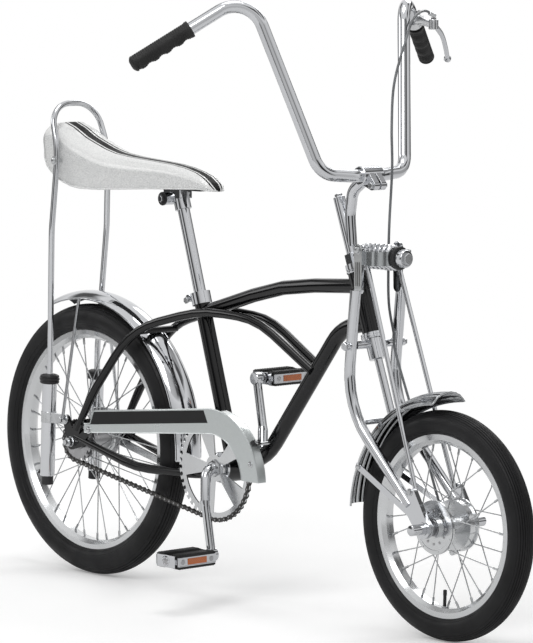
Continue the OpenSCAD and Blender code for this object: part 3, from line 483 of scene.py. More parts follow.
def saddle():
    rings = []
    xs = [-108 + 459 * (0.5 - 0.5 * math.cos(math.pi * k / 90)) for k in range(91)]
    for x in xs:
        top, low, half = value_at(SADDLE_TOP, x), value_at(SADDLE_LOW, x), value_at(SADDLE_HALF, x)
        h = top - low
        roll = min(0.5 * half, 0.45 * h, 24)
        crown = 0.06 * half
        section = []
        squeeze = min(1.0, (half - roll) / 18)
        edges = [squeeze * y for y in (0, 4.4, 8.8, 12.8, 16.8)]
        edges += [edges[-1] + (half - roll - edges[-1]) * k / 8 for k in range(1, 9)]
        for y in edges:
            section.append((y, top - crown * (y / half) ** 2))
        for k in range(1, 10):
            g = math.radians(90 * k / 9)
            section.append((half - roll + roll * math.sin(g), top - crown - roll + roll * math.cos(g)))
        for k in range(1, 8):
            t = k / 7
            section.append((half - (0.04 * h + 1.5) * t ** 1.6, top - crown - roll - (h - crown - roll - 2) * t))
        last = section[-1]
        section.append((last[0] - 1.5, low))
        section.append((0.5 * last[0], low))
        ring = [(x, -y, z) for y, z in section] + [(x, y, z) for y, z in reversed(section)][:-1]
        rings.append(ring)
    f = Form("saddle_cover", "frame", vinyl, vinyl_side, soft_plastic, band_black)
    f.grid(rings)
    count = len(rings[0])
    for i in range(len(f.faces)):
        near = min(i % count, count - 1 - i % count)
        f.mats[i] = 3 if near in (0, 1, 3) else (0 if near < 20 else (1 if near < 29 or xs[i // count] < -58 else 2))
        if i >= (len(rings) - 1) * count:
            f.mats[i] = 1
    o = f.make(angle=50, replaces=("saddle_pad",))
    trim = Form("saddle_piping", "frame", vinyl_side, soft_plastic)
    for side in (-1, 1):
        path = []
        for x in xs[3:-3]:
            top, low, half = value_at(SADDLE_TOP, x), value_at(SADDLE_LOW, x), value_at(SADDLE_HALF, x)
            h = top - low
            path.append((x, side * (half - 0.04 * h - 1.2), low + 1.6))
        trim.tube(path, 1.7, 8)
    trim.make()


saddle()


def hoop():
    f = Form("hoop_tube", "frame", chrome, bright_steel)
    half = [(-67.4, -57, 352), (-64.1, -57, 422), (-47, -66, 646), (-35, -60.5, 792), (-64, -53, 880)]
    path = half + [(x, -y, z) for x, y, z in reversed(half)]
    f.tube(bend(path, [200, 300, 160, 48, 48, 160, 300, 200], 12), 5.5, 24)
    for side in (-1, 1):
        f.lathe((-37.5, side * 57.5, 776), (0, side, 0), [(-6, 4), (8, 4), (8.2, 8), (9.6, 8), (10, 5.4), (13, 5), (14, 3)], 24, 1)
    f.make(replaces=("hoop",))


hoop()


# ---- tyres ----
def tyre(name, body, at, node, bead, height, width, ribs):
    """A tyre's section turned about its axle: rounded walls with a bead line, and a ribbed tread."""
    r = width / 2
    mid = bead / 2 + height - r
    section = []
    steps = 150
    for k in range(steps + 1):
        g = math.radians(-152 + 304 * k / steps)
        across = abs(g) * r
        depth = 0.0
        for start, end, cut in ribs:
            if start < across < end:
                depth = cut
        section.append(((r - depth) * math.sin(g), (r - depth) * math.cos(g)))
    profile = [(side, mid + up) for side, up in section]
    edge = profile[-1]
    profile += [(edge[0] - 1, bead / 2 + 1.5), (-edge[0] + 1, bead / 2 + 1.5)]
    f = Form(name, body, tyre_rubber)
    f.lathe(at, (0, 1, 0), profile, 168, loop=True)
    f.make(angle=28, replaces=(node,))


tyre("rear_tread", "rear_wheel", REAR, "rear_tyre", 406, 51, 54,
     ((1.6, 3.2, 1.4), (7.2, 8.8, 1.4), (12.8, 14.4, 1.4), (18.4, 20.0, 1.2), (25.0, 25.8, 0.5), (52, 53, 0.5), (60, 61, 0.6)))
tyre("front_tread", "front_wheel", FRONT, "front_tyre", 305, 43.5, 45,
     ((1.2, 2.4, 1.1), (5.4, 6.6, 1.1), (9.6, 10.8, 1.1), (13.8, 15.0, 1.1), (18.0, 19.0, 0.8), (22.4, 23.2, 0.5), (47, 48, 0.5)))


# ---- wheels' small parts ----
def valve(name, body, at, bead, turn):
    d = Vector((math.cos(turn), 0, math.sin(turn)))
    base = Vector(at) + d * (bead / 2 - 13)
    f = Form(name, body, soft_plastic, bright_steel)
    f.lathe(base, -d, [(-3, 2.4), (0, 3.6), (2, 3.4), (3, 2.9), (20, 2.9), (20.5, 3.3), (29, 3.3), (30, 2.4)], 16)
    f.lathe(base - d * 0, -d, [(0, 3.8), (0.2, 5.4), (2.0, 5.4), (2.4, 3.8)], 20, 1)
    f.make()


valve("rear_valve", "rear_wheel", REAR, 406, math.radians(205))
valve("front_valve", "front_wheel", FRONT, 305, math.radians(268))


def hub_rings():
    f = Form("rear_hub_rings", "rear_wheel", bright_steel)
    for side in (-1, 1):
        f.lathe(REAR, (0, side, 0), [(20, 19.8), (21, 22), (24, 22.6), (26.5, 26), (27.4, 26)], 40)
    f.make()
    g = Form("front_drum_rings", "front_wheel", alloy, dull_steel)
    for side in (-1, 1):
        g.lathe(FRONT, (0, side, 0), [(30.6, 44.5), (31.8, 45.2), (31.8, 38.5), (31.2, 38)], 60)
    g.lathe(FRONT, (0, -1, 0), [(37.1, 8), (37.1, 14), (38.4, 14.6), (38.8, 9)], 32, 1)
    for k in range(12):
        a = 2 * math.pi * k / 12
        p = FRONT + Vector((28 * math.cos(a), -30.4, 28 * math.sin(a)))
        g.lathe(p, (0, -1, 0), [(0, 2.6), (1.2, 2.6), (1.8, 1.6)], 12, 1)
    g.make()


hub_rings()


# ---- handlebar grips ----
BAR_END = Vector((-213, 345, 191))
BAR_HIGH = Vector((-104, 181, 312))
GRIP_DIR = (BAR_HIGH - BAR_END).normalized()


def grip(name, side, node):
    rings, sides, count = [], 40, 96
    base = CLAMP + BAR_END
    d = Vector(GRIP_DIR)
    down = (Vector((0, 0, -1)) + d * d.z).normalized()
    across = d.cross(down)
    for i in range(count + 1):
        t = -4 + 118 * i / count
        r = 14.3
        if t < 3:
            r = 14.6 - 7 * ((3 - t) / 7) ** 2
        if t > 108:
            r = 15.2
        ring_cut = 0.7 if 4 < t < 106 and (t % 4.0) < 1.3 else 0.0
        ring = []
        for k in range(sides):
            g = 2 * math.pi * k / sides
            finger = max(0.0, math.cos(g)) ** 2 * 1.5 * math.cos(2 * math.pi * (t - 14) / 24.0) if 4 < t < 106 else 0.0
            rad = min(r - ring_cut + finger, 15.4)
            p = base + d * t + rad * (down * math.cos(g) + across * math.sin(g))
            ring.append(Vector((p.x, side * p.y, p.z)))
        rings.append(ring)
    f = Form(name, "steering", grip_rubber)
    f.grid(rings)
    f.make(angle=60, replaces=(node,))


grip("grip_rubber_left", 1, "grip_left")
grip("grip_rubber_right", -1, "grip_right")


# ---- brake lever ----
def lever():
    perch = CLAMP + BAR_END + 130 * GRIP_DIR
    root = perch + Vector((44, 6, -6))
    tip = CLAMP + BAR_END + 26 * GRIP_DIR + Vector((52, 8, -14))
    f = Form("lever_and_perch", "steering", alloy, chrome, dull_steel)
    f.lathe(perch - 9 * GRIP_DIR, GRIP_DIR, [(0, 14), (1, 15.2), (17, 15.2), (18, 14)], 36)
    arm = [perch + Vector((8, 0, 0)), perch + Vector((22, 3, 0)), root]
    f.tube(spline(arm, 6), [10 - 2.6 * k / 12 for k in range(13)], 16)
    f.lathe(root + Vector((0, 0, -9)), (0, 0, 1), [(0, 7.5), (1, 8.7), (17, 8.7), (18, 7.5)], 24)
    f.hexagon(root + Vector((0, 0, 9)), (0, 0, 1), 5, 3.5, 2)
    f.rod(perch + Vector((10, -4, 12)), perch + Vector((26, -12, 16)), 4, 16, 2)
    d = tip - root
    blade = [root + Vector((2, 0, 0)), root + 0.3 * d + Vector((7, 3, 0)), root + 0.65 * d + Vector((5, 2, 0)), tip]
    f.tube(spline(blade, 8), [4.6] * 8 + [4.2] * 17, 14, 1)
    f.lathe(tip - Vector((0, 0, 0)), d, [(-6.5, 2.5), (-4.5, 5.4), (0, 7), (4.5, 5.4), (6.5, 2.5)], 20, 1)
    f.make(bevel=0.0, replaces=("brake_lever",))


lever()

# ---- brake cable, on its solid's route ----
CABLE = [(640, 252, 1048), (636, 232, 1056), (664, 178, 1042), (703, 116, 992), (722, 76, 930), (744, 50, 860),
         (760, 36, 790), (758, 32, 700), (756, 32, 640), (757, 32, 560), (769, 33, 505), (771, 34, 478),
         (806, 36, 390), (852, 35.5, 290), (876, 36, 232), (894, 42.5, 190), (906, 44.7, 151.6)]


def cable():
    f = Form("cable_sleeve", "steering", cable_grey, bright_steel)
    f.tube(spline(CABLE, 6), 2.3, 12)
    f.rod((640.6, 255, 1046.6), (638, 242, 1052), 3.6, 16, 1)
    f.rod((901, 43.6, 168), (906, 44.7, 151.6), 3.4, 16, 1)
    f.make(replaces=("brake_cable",))


cable()


# ---- pedals ----
def pedal(name, side, at, node, body):
    f = Form(name, body, grip_rubber, chrome, amber, dull_steel)
    inner = 84 + 7.5 + 5.5

    def p(x, y, z):
        return Vector((at.x + x, side * -y, at.z + z))

    out = Vector((0, -side, 0))
    f.lathe(p(0, 76.8, 0), out, [(0, 5.2), (0.6, 5.9), (19, 5.9), (20, 8)], 20, 3)
    f.lathe(p(0, inner - 2, 0), out, [(0, 7), (1, 9.5), (6, 9.5), (8, 8.4), (86, 8.4), (90, 9.6), (95, 9.6), (97, 6)], 28, 3)
    # end cages of bent plate
    for y in (inner + 1.5, inner + 92.5):
        f.box(p(0, y, 0), (48, 2.6, 22), 1)
        f.lathe(p(0, y, 0) - out * 1.6, out, [(0, 10), (0.6, 11), (2.6, 11), (3.2, 10)], 28, 1)
    for k in range(6):
        a = math.pi * k / 3
        f.lathe(p(7 * math.cos(a), inner + 93.6, 7 * math.sin(a)), out, [(0, 2.6), (1.6, 2.4), (2.0, 1.2)], 10, 1)
    # rubber blocks with ribs across, over and under the side rails
    for x in (-20, 20):
        for z in (-1, 1):
            f.box(p(x, inner + 47, z * 8.2), (19, 86, 7.6), 0)
            for k in range(14):
                f.box(p(x, inner + 8.5 + 5.9 * k, z * 12.4), (18, 3.4, 1.6), 0)
        f.box(p(x, inner + 47, 0), (13, 89, 9), 1)
    # reflectors in their frames, front and back
    for x in (-1, 1):
        f.box(p(x * 29.3, inner + 47, 0), (1.6, 88, 16), 1)
        f.box(p(x * 30.2, inner + 47, 0), (2.2, 43, 11), 2)
        for z in (-1, 1):
            f.box(p(x * 29.8, inner + 47, z * 7.4), (2.8, 86, 1.6), 1)
        for y in (-1, 1):
            screw = p(x * 30.0, inner + 47 + y * 33, 0)
            f.lathe(screw, (x, 0, 0), [(0, 4.6), (0.6, 4.6), (0.9, 3.8), (0.5, 1.5)], 18, 3)
    f.make(bevel=0.5, replaces=(node,))


lean = math.radians(13)
arm = Vector((152 * math.sin(lean), 0, -152 * math.cos(lean)))
pedal("pedal_blocks_right", 1, CRANK + arm, "pedal_right", "right_pedal")
pedal("pedal_blocks_left", -1, CRANK - arm, "pedal_left", "left_pedal")


# ---- crank ----
def crank():
    f = Form("crank_forging", "crankset", chrome, bright_steel)
    f.rod((392, -44, 243), (392, 44, 243), 11.6, 40)
    f.lathe((392, -45.5 + 1, 243), (0, 1, 0), [(0, 18), (0.8, 20), (7, 20), (8, 17)], 40, 1)
    f.lathe((392, -47.8, 243), (0, -1, 0), [(0, 16), (3, 16), (4, 13)], 6, 1)
    for side in (-1, 1):
        foot = -side * arm
        path = [(0, side * 40, 0), (0, side * 68, 0), (0.4 * foot.x, side * 80.5, 0.4 * foot.z),
                (0.98 * foot.x, side * 84, 0.98 * foot.z)]
        curve = [CRANK + p for p in bend(path, [22, 60], 10)]
        f.tube(curve, [10.6 - 2.6 * k / (len(curve) - 1) for k in range(len(curve))], 28)
        f.lathe(CRANK + foot + Vector((0, side * 76.5, 0)), (0, side, 0), [(0, 10.4), (1, 11.6), (14, 11.6), (15, 10.4)], 36)
    f.make(replaces=("crank",))


crank()


# ---- chain of links ----
def chain():
    pitch, ring, cog = 12.7, 93.06, 36.57
    a, b = np.array((0.0, 254.0)), np.array((392.0, 243.0))
    length = np.linalg.norm(b - a)
    axle_lean = math.atan2(b[1] - a[1], b[0] - a[0])
    run_lean = math.asin((ring - cog) / length)
    path = []
    for k in range(400):
        g = axle_lean + math.pi / 2 + run_lean + (math.pi - 2 * run_lean) * k / 399
        path.append(a + cog * np.array((math.cos(g), math.sin(g))))
    for k in range(800):
        g = axle_lean - math.pi / 2 - run_lean + (math.pi + 2 * run_lean) * k / 799
        path.append(b + ring * np.array((math.cos(g), math.sin(g))))
    path.append(path[0])
    path = np.array(path)
    along = np.r_[0, np.cumsum(np.linalg.norm(np.diff(path, axis=0), axis=1))]
    count = 2 * round(along[-1] / pitch / 2)
    step = along[-1] / count
    pins = [np.array([np.interp(i * step, along, path[:, 0]), np.interp(i * step, along, path[:, 1])]) for i in range(count)]
    f = Form("chain_links", "frame", chain_steel, dull_steel)
    for i in range(count):
        p, q = pins[i], pins[(i + 1) % count]
        d = (q - p) / np.linalg.norm(q - p)
        n = np.array((-d[1], d[0]))
        outline = []
        for centre, sign in ((q, 1), (p, -1)):
            for k in range(5):
                g = math.radians(-75 + 150 * k / 4)
                outline.append(tuple(float(v) for v in centre + sign * 4.6 * (d * math.cos(g) + n * math.sin(g))))
        outline.insert(5, tuple((p + q) / 2 + 2.5 * n))
        outline.append(tuple((p + q) / 2 - 2.5 * n))
        offset = 2.75 if i % 2 else 2.2
        for side in (-1, 1):
            y = -46 + side * offset
            f.sheet(outline, y - 0.25, y + 0.25 + 0.05 * side)
        # a roller on the straight runs; only the pin's ends show where teeth pass between the plates
        toothed = np.linalg.norm(p - b) < 104 or np.linalg.norm(p - a) < 58
        spans = ((-49.4, -48.5), (-43.5, -42.6)) if toothed else ((-49.4, -42.6),)
        for y0, y1 in spans:
            f.lathe((p[0], y0, p[1]), (0, 1, 0), [(0, 1.6), (y1 - y0, 1.6)], 8, 1)
    f.make(replaces=("chain",))


chain()


# ---- chain guard: black panel over a silver strip, rolled edges and bolts ----
def guard():
    hood = (400, 225)
    f = Form("guard_panel", "frame", silver_paint, black_panel, bright_steel, soft_plastic)
    outer = [(42, 275), (42, 292), (60, 294), (69, 318)] + arc(hood, 126, 93.6, 2.7, 48)
    inner = arc(hood, 82, 4.2, 95, 48)
    f.sheet(outer + inner, -63, -61, 0)
    f.tube([(x, -62.6, z) for x, z in outer[1:-1]], 1.2, 8, 0)
    f.tube([(x, -62.7, z) for x, z in inner[1:]] + [(43, -62.7, 275.6)], 1.0, 8, 0)
    lip = []
    for x, z in arc((0, 0), 1, 80, 2.7, 40):
        lip.append([
            (hood[0] + r * x, y, hood[1] + r * z)
            for r, y in ((126, -62.6), (126.2, -45), (125.6, -43.6), (124.4, -43.6), (123.8, -45), (123.8, -62))
        ])
    f.grid(lip)
    f.sheet([(47, 290.6), (61, 292.8), (71, 316.4), (380, 347.0), (391, 325.4)], -63.4, -62.8, 1)
    # clip on the lip, stayed to the down tube
    x, z = arc(hood, 124, 35, 35, 1)[0]
    f.rod((x, -50, z), (x, -14.6, z), 3.2, 20, 2)
    f.box((x + 1, -50, z + 1), (14, 17, 9), 3, (math.cos(math.radians(35)), 0, math.sin(math.radians(35))), (-0.574, 0, 0.819))
    f.lathe((x, -50, z), (0.819, 0, 0.574), [(5, 4), (8.6, 4), (9.4, 2.4)], 20, 2)
    f.rod((55, -61.2, 281), (55, -57.5, 281), 6, 24, 2)
    for x, z, r in ((55, 281, 4.6), (505, 262, 3.2)):
        f.lathe((x, -63.0, z), (0, -1, 0), [(0, r + 2.4), (0.8, r + 2.4), (1.0, r), (2.6, r * 0.9), (3.4, r * 0.5)], 20, 2)
    f.make(replaces=("chain_guard",))


guard()


# ---- fenders: rolled edges ----
def fender_edges():
    f = Form("rear_fender_beads", "frame", chrome)
    for side in (-1, 1):
        edge = [(x, side * 29.6, z) for x, z in arc((0, 254), 264.9, -2.5, 112, 90)]
        f.tube(edge, 1.5, 10)
    f.make()


fender_edges()


def front_fender():
    """A ribbed shell that widens towards its front tip."""
    f = Form("front_fender_shell", "steering", fender_chrome)
    rings, left, right = [], [], []
    for i in range(97):
        turn = 89.5 + 86.5 * i / 96
        flare = max(0.0, 1 - (turn - 90) / 22) ** 2
        half, top = 31 + 6.5 * flare, 223.5 + 3.5 * flare
        round_r = (18 * 18 + half * half) / 36
        a = math.radians(turn)
        outward = Vector((math.cos(a), 0, math.sin(a)))

        def at(y, lift):
            rib = sum(math.exp(-((y / half * 31 - c) / 1.7) ** 2) for c in (-21, -13, -5, 5, 13, 21))
            return FRONT + outward * (top - round_r + math.sqrt(round_r ** 2 - y * y) + 1.3 * rib - lift) + Vector((0, y, 0))

        ys = [half * (2 * k / 72 - 1) for k in range(73)]
        rings.append([at(y, 0) for y in ys] + [at(y, 1.5) for y in reversed(ys)])
        left.append(at(-half, 0.7))
        right.append(at(half, 0.7))
    f.grid(rings)
    tip = [(a + b) / 2 for a, b in zip(rings[0][:73], reversed(rings[0][73:]))]
    f.tube(list(reversed(left)) + tip[4:-4:4] + right, 1.7, 10)
    f.make(angle=50, replaces=("front_fender",))


front_fender()


# ---- struts that carry the hoop: tube, ribbed cap, plug and bracket ----
def struts():
    for side, name in ((-1, "right"), (1, "left")):
        f = Form("strut_body_" + name, "frame", chrome, bright_steel, soft_plastic)
        foot, top = Vector((-76.3, side * 57, 166)), Vector((-67, side * 57, 361))
        d, length = (top - foot).normalized(), (top - foot).length
        f.lathe(foot, d, [(0, 10.4), (0.9, 11.6), (5, 11.4), (12, 11.4), (17, 11.8)], 36, 2)
        f.lathe(foot + 16 * d, d, [(0, 12.2), (1.2, 13.5), (length - 16, 13.5), (length - 15, 12.6)], 48)
        f.lathe(top - 4 * d, d, [(0, 14.2), (1.2, 17.6), (4.4, 18.4), (5.2, 17.0), (6.2, 17.0), (7, 18.6), (10.6, 18.6),
                                 (11.4, 17.0), (12.4, 17.0), (13, 18.0), (15.6, 17.2), (17.6, 13), (18.2, 6.2)], 48, 2)
        f.lathe(foot + 118 * d, d, [(0, 13.6), (0.5, 14.4), (20.5, 14.4), (21, 13.6)], 48, 1)
        f.sheet(link((-71, 294), (-16, 294), 10, 9), *sorted((side * 60.3, side * 63.3)), 1)
        f.make(bevel=0.4, replaces=("strut_" + name,))


struts()


# ---- bolts, nuts and collars ----
def bolts():
    f = Form("frame_bolts", "frame", bright_steel, chrome, soft_plastic)
    for side in (-1, 1):
        out = (0, side, 0)
        f.lathe((0, side * 60.3, 254), out, [(0, 9.6), (1.4, 9.6)], 32)
        f.lathe((-16, side * 63.3, 294), out, [(0, 7.4), (1.2, 7.4)], 24)
        f.hexagon((-16, side * 71.2, 294), out, 5.4, 4.4)
    f.hexagon((300 - 22, -13.2, 534), (0, -1, 0), 6.2, 4.5)
    f.lathe((300 - 22, 13.0, 534), (0, 1, 0), [(0, 6.2), (3, 6.2), (4, 4)], 20)
    # bearing cups of the crank
    for side in (-1, 1):
        f.lathe((392, side * 33.0, 243), (0, side, 0), [(0, 27), (1.4, 27.4), (3.4, 25), (4.4, 18), (4.6, 13)], 48, 1)
    # clamp bolt under the saddle
    for side in (-1, 1):
        f.lathe((224.9, side * 25, 715.7), (0, side, 0), [(0, 12.4), (1.4, 12.4), (1.6, 8), (5.0, 7.4), (6.4, 4)], 28, 2)
        f.hexagon((224.9, side * 28.5, 715.7), (0, side, 0), 6, 4, 1)
    f.make(bevel=0.0)


def fork_bolts():
    f = Form("fork_bolts", "steering", chrome, bright_steel, soft_plastic, plate_alloy, chain_steel)
    for side in (-1, 1):
        out = (0, side, 0)
        p = steer(65, 0, 489)
        f.lathe((p.x, side * 48.6, p.z), out, [(0, 8), (1.0, 8), (1.2, 5.6), (4.2, 5.0), (5.0, 2.6)], 24, 1)
        # grooved face of the flat plate, with painted shade along its grooves
        low, high = steer(43, 0, 428), steer(65, 0, 489)
        y0, y1 = sorted((side * 48.4, side * 49.1))
        f.sheet(link((low.x, low.z), (high.x, high.z), 8.6, 9.6), y0, y1, 3)
        # thin dark rods on the plate: painted shade where the grooves are, not a colour of their own
        for shift in (-4.2, 0, 4.2):
            a, b = (p + shift * (high - low).cross(LEFT).normalized() for p in (low.lerp(high, 0.05), low.lerp(high, 0.68)))
            f.rod((a.x, side * 49.0, a.z), (b.x, side * 49.0, b.z), 0.8, 8, 4, 0.2)
        q = steer(0, 0, 338)
        f.lathe((q.x, side * 60, q.z), out, [(0, 9), (1.6, 9), (1.8, 7.6)], 28)
        f.hexagon((q.x, side * 66.5, q.z), out, 7.4, 6)
        f.lathe((934, side * 58.6, 196), out, [(0, 11.5), (1.8, 11.5)], 32)
        f.lathe((934, side * 84.6, 196), out, [(0, 9), (1.2, 8.2), (1.8, 6)], 32)
        r = steer(59, 0, 66)
        f.lathe((r.x, side * 58.4, r.z), out, [(0, 6.5), (1.0, 6.5), (1.2, 4.6), (3.6, 4.0)], 20, 1)
    # spring's front: rubber band, washer and domed nut
    front = Vector((813.4, 0, 641))
    f.lathe(front + Vector((-0.6, 0, 0)), (1, 0, 0), [(0, 19), (0.8, 20), (6.4, 20), (7.2, 19)], 40, 2)
    f.lathe(front + Vector((6.4, 0, 0)), (1, 0, 0), [(0, 14.6), (0.6, 15.6), (12, 15.6), (14.4, 14.2), (14.6, 11)], 40)
    f.hexagon(front + Vector((20, 0, 0)), (1, 0, 0), 10.5, 6, 1)
    # headset nuts' knurled ring
    f.lathe(steer(0, 0, 465.6), UP, [(0, 17.4), (1, 18.2), (3, 18.2), (4, 17.4)], 48)
    f.lathe(steer(0, 0, 348), UP, [(0, 19.6), (1, 20.6), (4, 20.6), (5, 19.8)], 48)
    f.make()


bolts()
fork_bolts()


def stem():
    f = Form("stem_forging", "steering", chrome, bright_steel)
    f.rod(steer(0, 0, 499), steer(0, 0, 602), 10.4, 36, 0, 1.4)
    f.hexagon(steer(0, 0, 601.5), UP, 7, 5.5, 1)
    path = bend([steer(3, 0, 512), steer(17, 0, 566), steer(37, 0, 601), CLAMP], [70, 30], 12)
    f.tube(path, [9.2 + 1.6 * k / (len(path) - 1) for k in range(len(path))], 32)
    f.lathe(CLAMP + Vector((0, -23, 0)), LEFT, [(0, 14.4), (1.4, 16.2), (44.6, 16.2), (46, 14.4)], 48)
    ear = (CLAMP.x + 22, CLAMP.z - 16)
    for low, high in ((-14, -2), (2, 14)):
        f.sheet(link((CLAMP.x, CLAMP.z), ear, 15, 8.5), low, high)
    f.rod((ear[0], -10, ear[1]), (ear[0], 10, ear[1]), 4.4, 20, 1)
    for side in (-1, 1):
        f.hexagon((ear[0], side * 14, ear[1]), (0, side, 0), 6, 4.5, 1)
    f.make(bevel=0.8, replaces=("stem",))


stem()


def fender_braces():
    f = Form("fender_straps", "steering", chrome, bright_steel)
    foot = (916, 204)
    for side in (-1, 1):
        y0, y1 = sorted((side * 47.6, side * 49.4))
        f.sheet(link((934, 196), foot, 10, 6), y0, y1)
        end = FRONT + 208 * Vector((math.cos(math.radians(155)), 0, math.sin(math.radians(155))))
        a, b = Vector((foot[0], side * 47.6, foot[1])), Vector((end.x, side * 32.6, end.z))
        d = (b - a).normalized()
        f.box((a + b) / 2, ((b - a).length, 2.2, 11), 0, d, d.cross(LEFT))
        f.lathe(b - 7 * d, (0, side, 0), [(-3, 3), (1.2, 3), (1.4, 5), (3.4, 4.6), (4.2, 2.6)], 18, 1)
    bridge = FRONT + 228.8 * Vector((math.cos(math.radians(134)), 0, math.sin(math.radians(134))))
    f.rod(bridge - 44.6 * LEFT, bridge + 44.6 * LEFT, 5, 20)
    f.rod(steer(0, 0, 212), steer(0, 0, 311), 7, 28)
    f.make(replaces=("front_fender_braces",))


fender_braces()


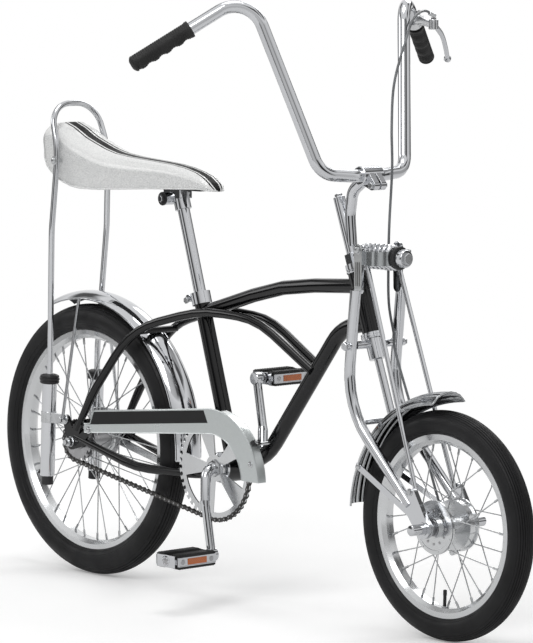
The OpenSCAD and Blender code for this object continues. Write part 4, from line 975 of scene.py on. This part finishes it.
# ---- stage, light and camera ----
def stage():
    me = bpy.data.meshes.new("floor")
    z = (0 - 786) / 1000 - 0.0005
    rim = [(0.35 + 5 * math.cos(math.pi * k / 48), 5 * math.sin(math.pi * k / 48), z) for k in range(96)]
    me.from_pydata(rim, [], [tuple(range(96))])
    o = bpy.data.objects.new("floor", me)
    bpy.context.scene.collection.objects.link(o)
    m, t, b = shader("floor_white", (0.9, 0.9, 0.9), 0.0, 0.9, specular=0.0)
    t.links.new(mix(t, noise(t, 0.8), (0.89, 0.89, 0.89), (0.91, 0.91, 0.91)), b.inputs["Base Color"])
    lift = add(t, "ShaderNodeMath", operation="MULTIPLY")
    lift.inputs[1].default_value = 0.22
    t.links.new(add(t, "ShaderNodeLightPath").outputs["Is Camera Ray"], lift.inputs[0])
    b.inputs["Emission Color"].default_value = (1, 1, 1, 1)
    t.links.new(lift.outputs[0], b.inputs["Emission Strength"])
    # away from the object the floor turns into the white backdrop
    away = add(t, "ShaderNodeVectorMath", operation="DISTANCE")
    t.links.new(add(t, "ShaderNodeNewGeometry").outputs["Position"], away.inputs[0])
    away.inputs[1].default_value = (0.35, 0, z)
    white = add(t, "ShaderNodeMapRange", interpolation_type="SMOOTHSTEP")
    white.inputs["From Min"].default_value = 1.1
    white.inputs["From Max"].default_value = 2.8
    t.links.new(away.outputs["Value"], white.inputs["Value"])
    seen = add(t, "ShaderNodeMath", operation="MULTIPLY")
    t.links.new(white.outputs["Result"], seen.inputs[0])
    t.links.new(add(t, "ShaderNodeLightPath").outputs["Is Camera Ray"], seen.inputs[1])
    glow = add(t, "ShaderNodeEmission", Strength=1.0)
    glow.inputs["Color"].default_value = (1, 1, 1, 1)
    blend = add(t, "ShaderNodeMixShader")
    t.links.new(seen.outputs[0], blend.inputs[0])
    t.links.new(b.outputs[0], blend.inputs[1])
    t.links.new(glow.outputs[0], blend.inputs[2])
    t.links.new(blend.outputs[0], t.nodes["Material Output"].inputs["Surface"])
    me.materials.append(m)
    lights = (
        ("key", (2.2, -4.2, 3.6), 2.4, 95),
        ("fill", (-4.5, -3.2, 2.4), 2.6, 40),
        ("back", (-1.6, 4.4, 3.2), 2.4, 55),
        ("top", (0.3, 0.0, 4.6), 2.2, 60),
    )
    for name, at, size, power in lights:
        data = bpy.data.lights.new(name, "AREA")
        data.size, data.energy = size, power
        lamp = bpy.data.objects.new(name, data)
        lamp.location = at
        lamp.rotation_euler = (Vector((0.35, 0, -0.3)) - Vector(at)).to_track_quat("-Z", "Y").to_euler()
        bpy.context.scene.collection.objects.link(lamp)
    w = bpy.data.worlds.new("studio")
    bpy.context.scene.world = w
    w.use_nodes = True
    t = w.node_tree
    back = t.nodes["Background"]
    split = add(t, "ShaderNodeSeparateXYZ")
    t.links.new(add(t, "ShaderNodeTexCoord").outputs["Generated"], split.inputs["Vector"])
    # what metal sees: white above, a dark wall around, with gaps between its screens
    level = add(t, "ShaderNodeMapRange")
    level.inputs["From Min"].default_value = -1
    level.inputs["From Max"].default_value = 1
    t.links.new(split.outputs["Z"], level.inputs["Value"])
    room = add(t, "ShaderNodeValToRGB")
    stops = ((0.0, 0.6), (0.4, 0.4), (0.44, 0.03), (0.53, 0.015), (0.6, 0.05), (0.65, 0.7), (0.73, 0.95),
             (0.77, 0.12), (0.85, 0.1), (0.89, 0.95), (1.0, 0.9))
    elements = room.color_ramp.elements
    while len(elements) < len(stops):
        elements.new(0.5)
    for e, (at, value) in zip(elements, stops):
        e.position = at
        e.color = (value, value, value, 1)
    t.links.new(level.outputs["Result"], room.inputs["Fac"])
    turn = add(t, "ShaderNodeMath", operation="ARCTAN2")
    t.links.new(split.outputs["Y"], turn.inputs[0])
    t.links.new(split.outputs["X"], turn.inputs[1])
    # screens and dark gaps around the room, counted from the side that faces the front right
    facing = add(t, "ShaderNodeMath", operation="ADD")
    facing.inputs[1].default_value = math.radians(41.8)
    t.links.new(turn.outputs[0], facing.inputs[0])
    cosine = add(t, "ShaderNodeMath", operation="COSINE")
    t.links.new(facing.outputs[0], cosine.inputs[0])
    share = add(t, "ShaderNodeMath", operation="ARCCOSINE")
    t.links.new(cosine.outputs[0], share.inputs[0])
    part = add(t, "ShaderNodeMath", operation="DIVIDE")
    part.inputs[1].default_value = math.pi
    t.links.new(share.outputs[0], part.inputs[0])
    screens = add(t, "ShaderNodeValToRGB")
    stops = ((0.0, 0.7), (0.12, 0.55), (0.17, 0.015), (0.29, 0.015), (0.33, 0.6), (0.43, 0.9), (0.47, 0.1), (0.57, 0.05),
             (0.61, 0.5), (0.72, 0.4), (0.75, 0.02), (0.86, 0.02), (0.9, 0.9), (1.0, 1.0))
    elements = screens.color_ramp.elements
    while len(elements) < len(stops):
        elements.new(0.5)
    for e, (at, value) in zip(elements, stops):
        e.position = at
        e.color = (value, value, value, 1)
    t.links.new(part.outputs[0], screens.inputs["Fac"])
    walls = add(t, "ShaderNodeMath", operation="MAXIMUM")
    t.links.new(screens.outputs["Color"], walls.inputs[0])
    t.links.new(room.outputs["Color"], walls.inputs[1])
    path = add(t, "ShaderNodeLightPath")
    seen = add(t, "ShaderNodeMix", data_type="FLOAT")
    seen.inputs["A"].default_value = 0.45
    t.links.new(path.outputs["Is Glossy Ray"], seen.inputs["Factor"])
    t.links.new(walls.outputs[0], seen.inputs["B"])
    final = add(t, "ShaderNodeMix", data_type="FLOAT")
    t.links.new(path.outputs["Is Camera Ray"], final.inputs["Factor"])
    t.links.new(seen.outputs["Result"], final.inputs["A"])
    final.inputs["B"].default_value = 1.0
    t.links.new(final.outputs["Result"], back.inputs["Color"])
    back.inputs["Strength"].default_value = 1.0


def camera():
    data = bpy.data.cameras.new("camera")
    data.sensor_width, data.lens = 36, 3675 / 643 * 36
    data.clip_start, data.clip_end = 0.1, 100
    o = bpy.data.objects.new("camera", data)
    a, e = math.radians(48.16), math.radians(5.52)
    back = Vector((math.sin(a) * math.cos(e), -math.cos(a) * math.cos(e), math.sin(e)))
    o.location = world(478, 0, 509) + 6.5 * back
    o.rotation_mode = "QUATERNION"
    o.rotation_quaternion = (-back).to_track_quat("-Z", "Y")
    bpy.context.scene.collection.objects.link(o)
    bpy.context.scene.camera = o


stage()
camera()
bpy.context.scene.view_settings.view_transform = "Standard"
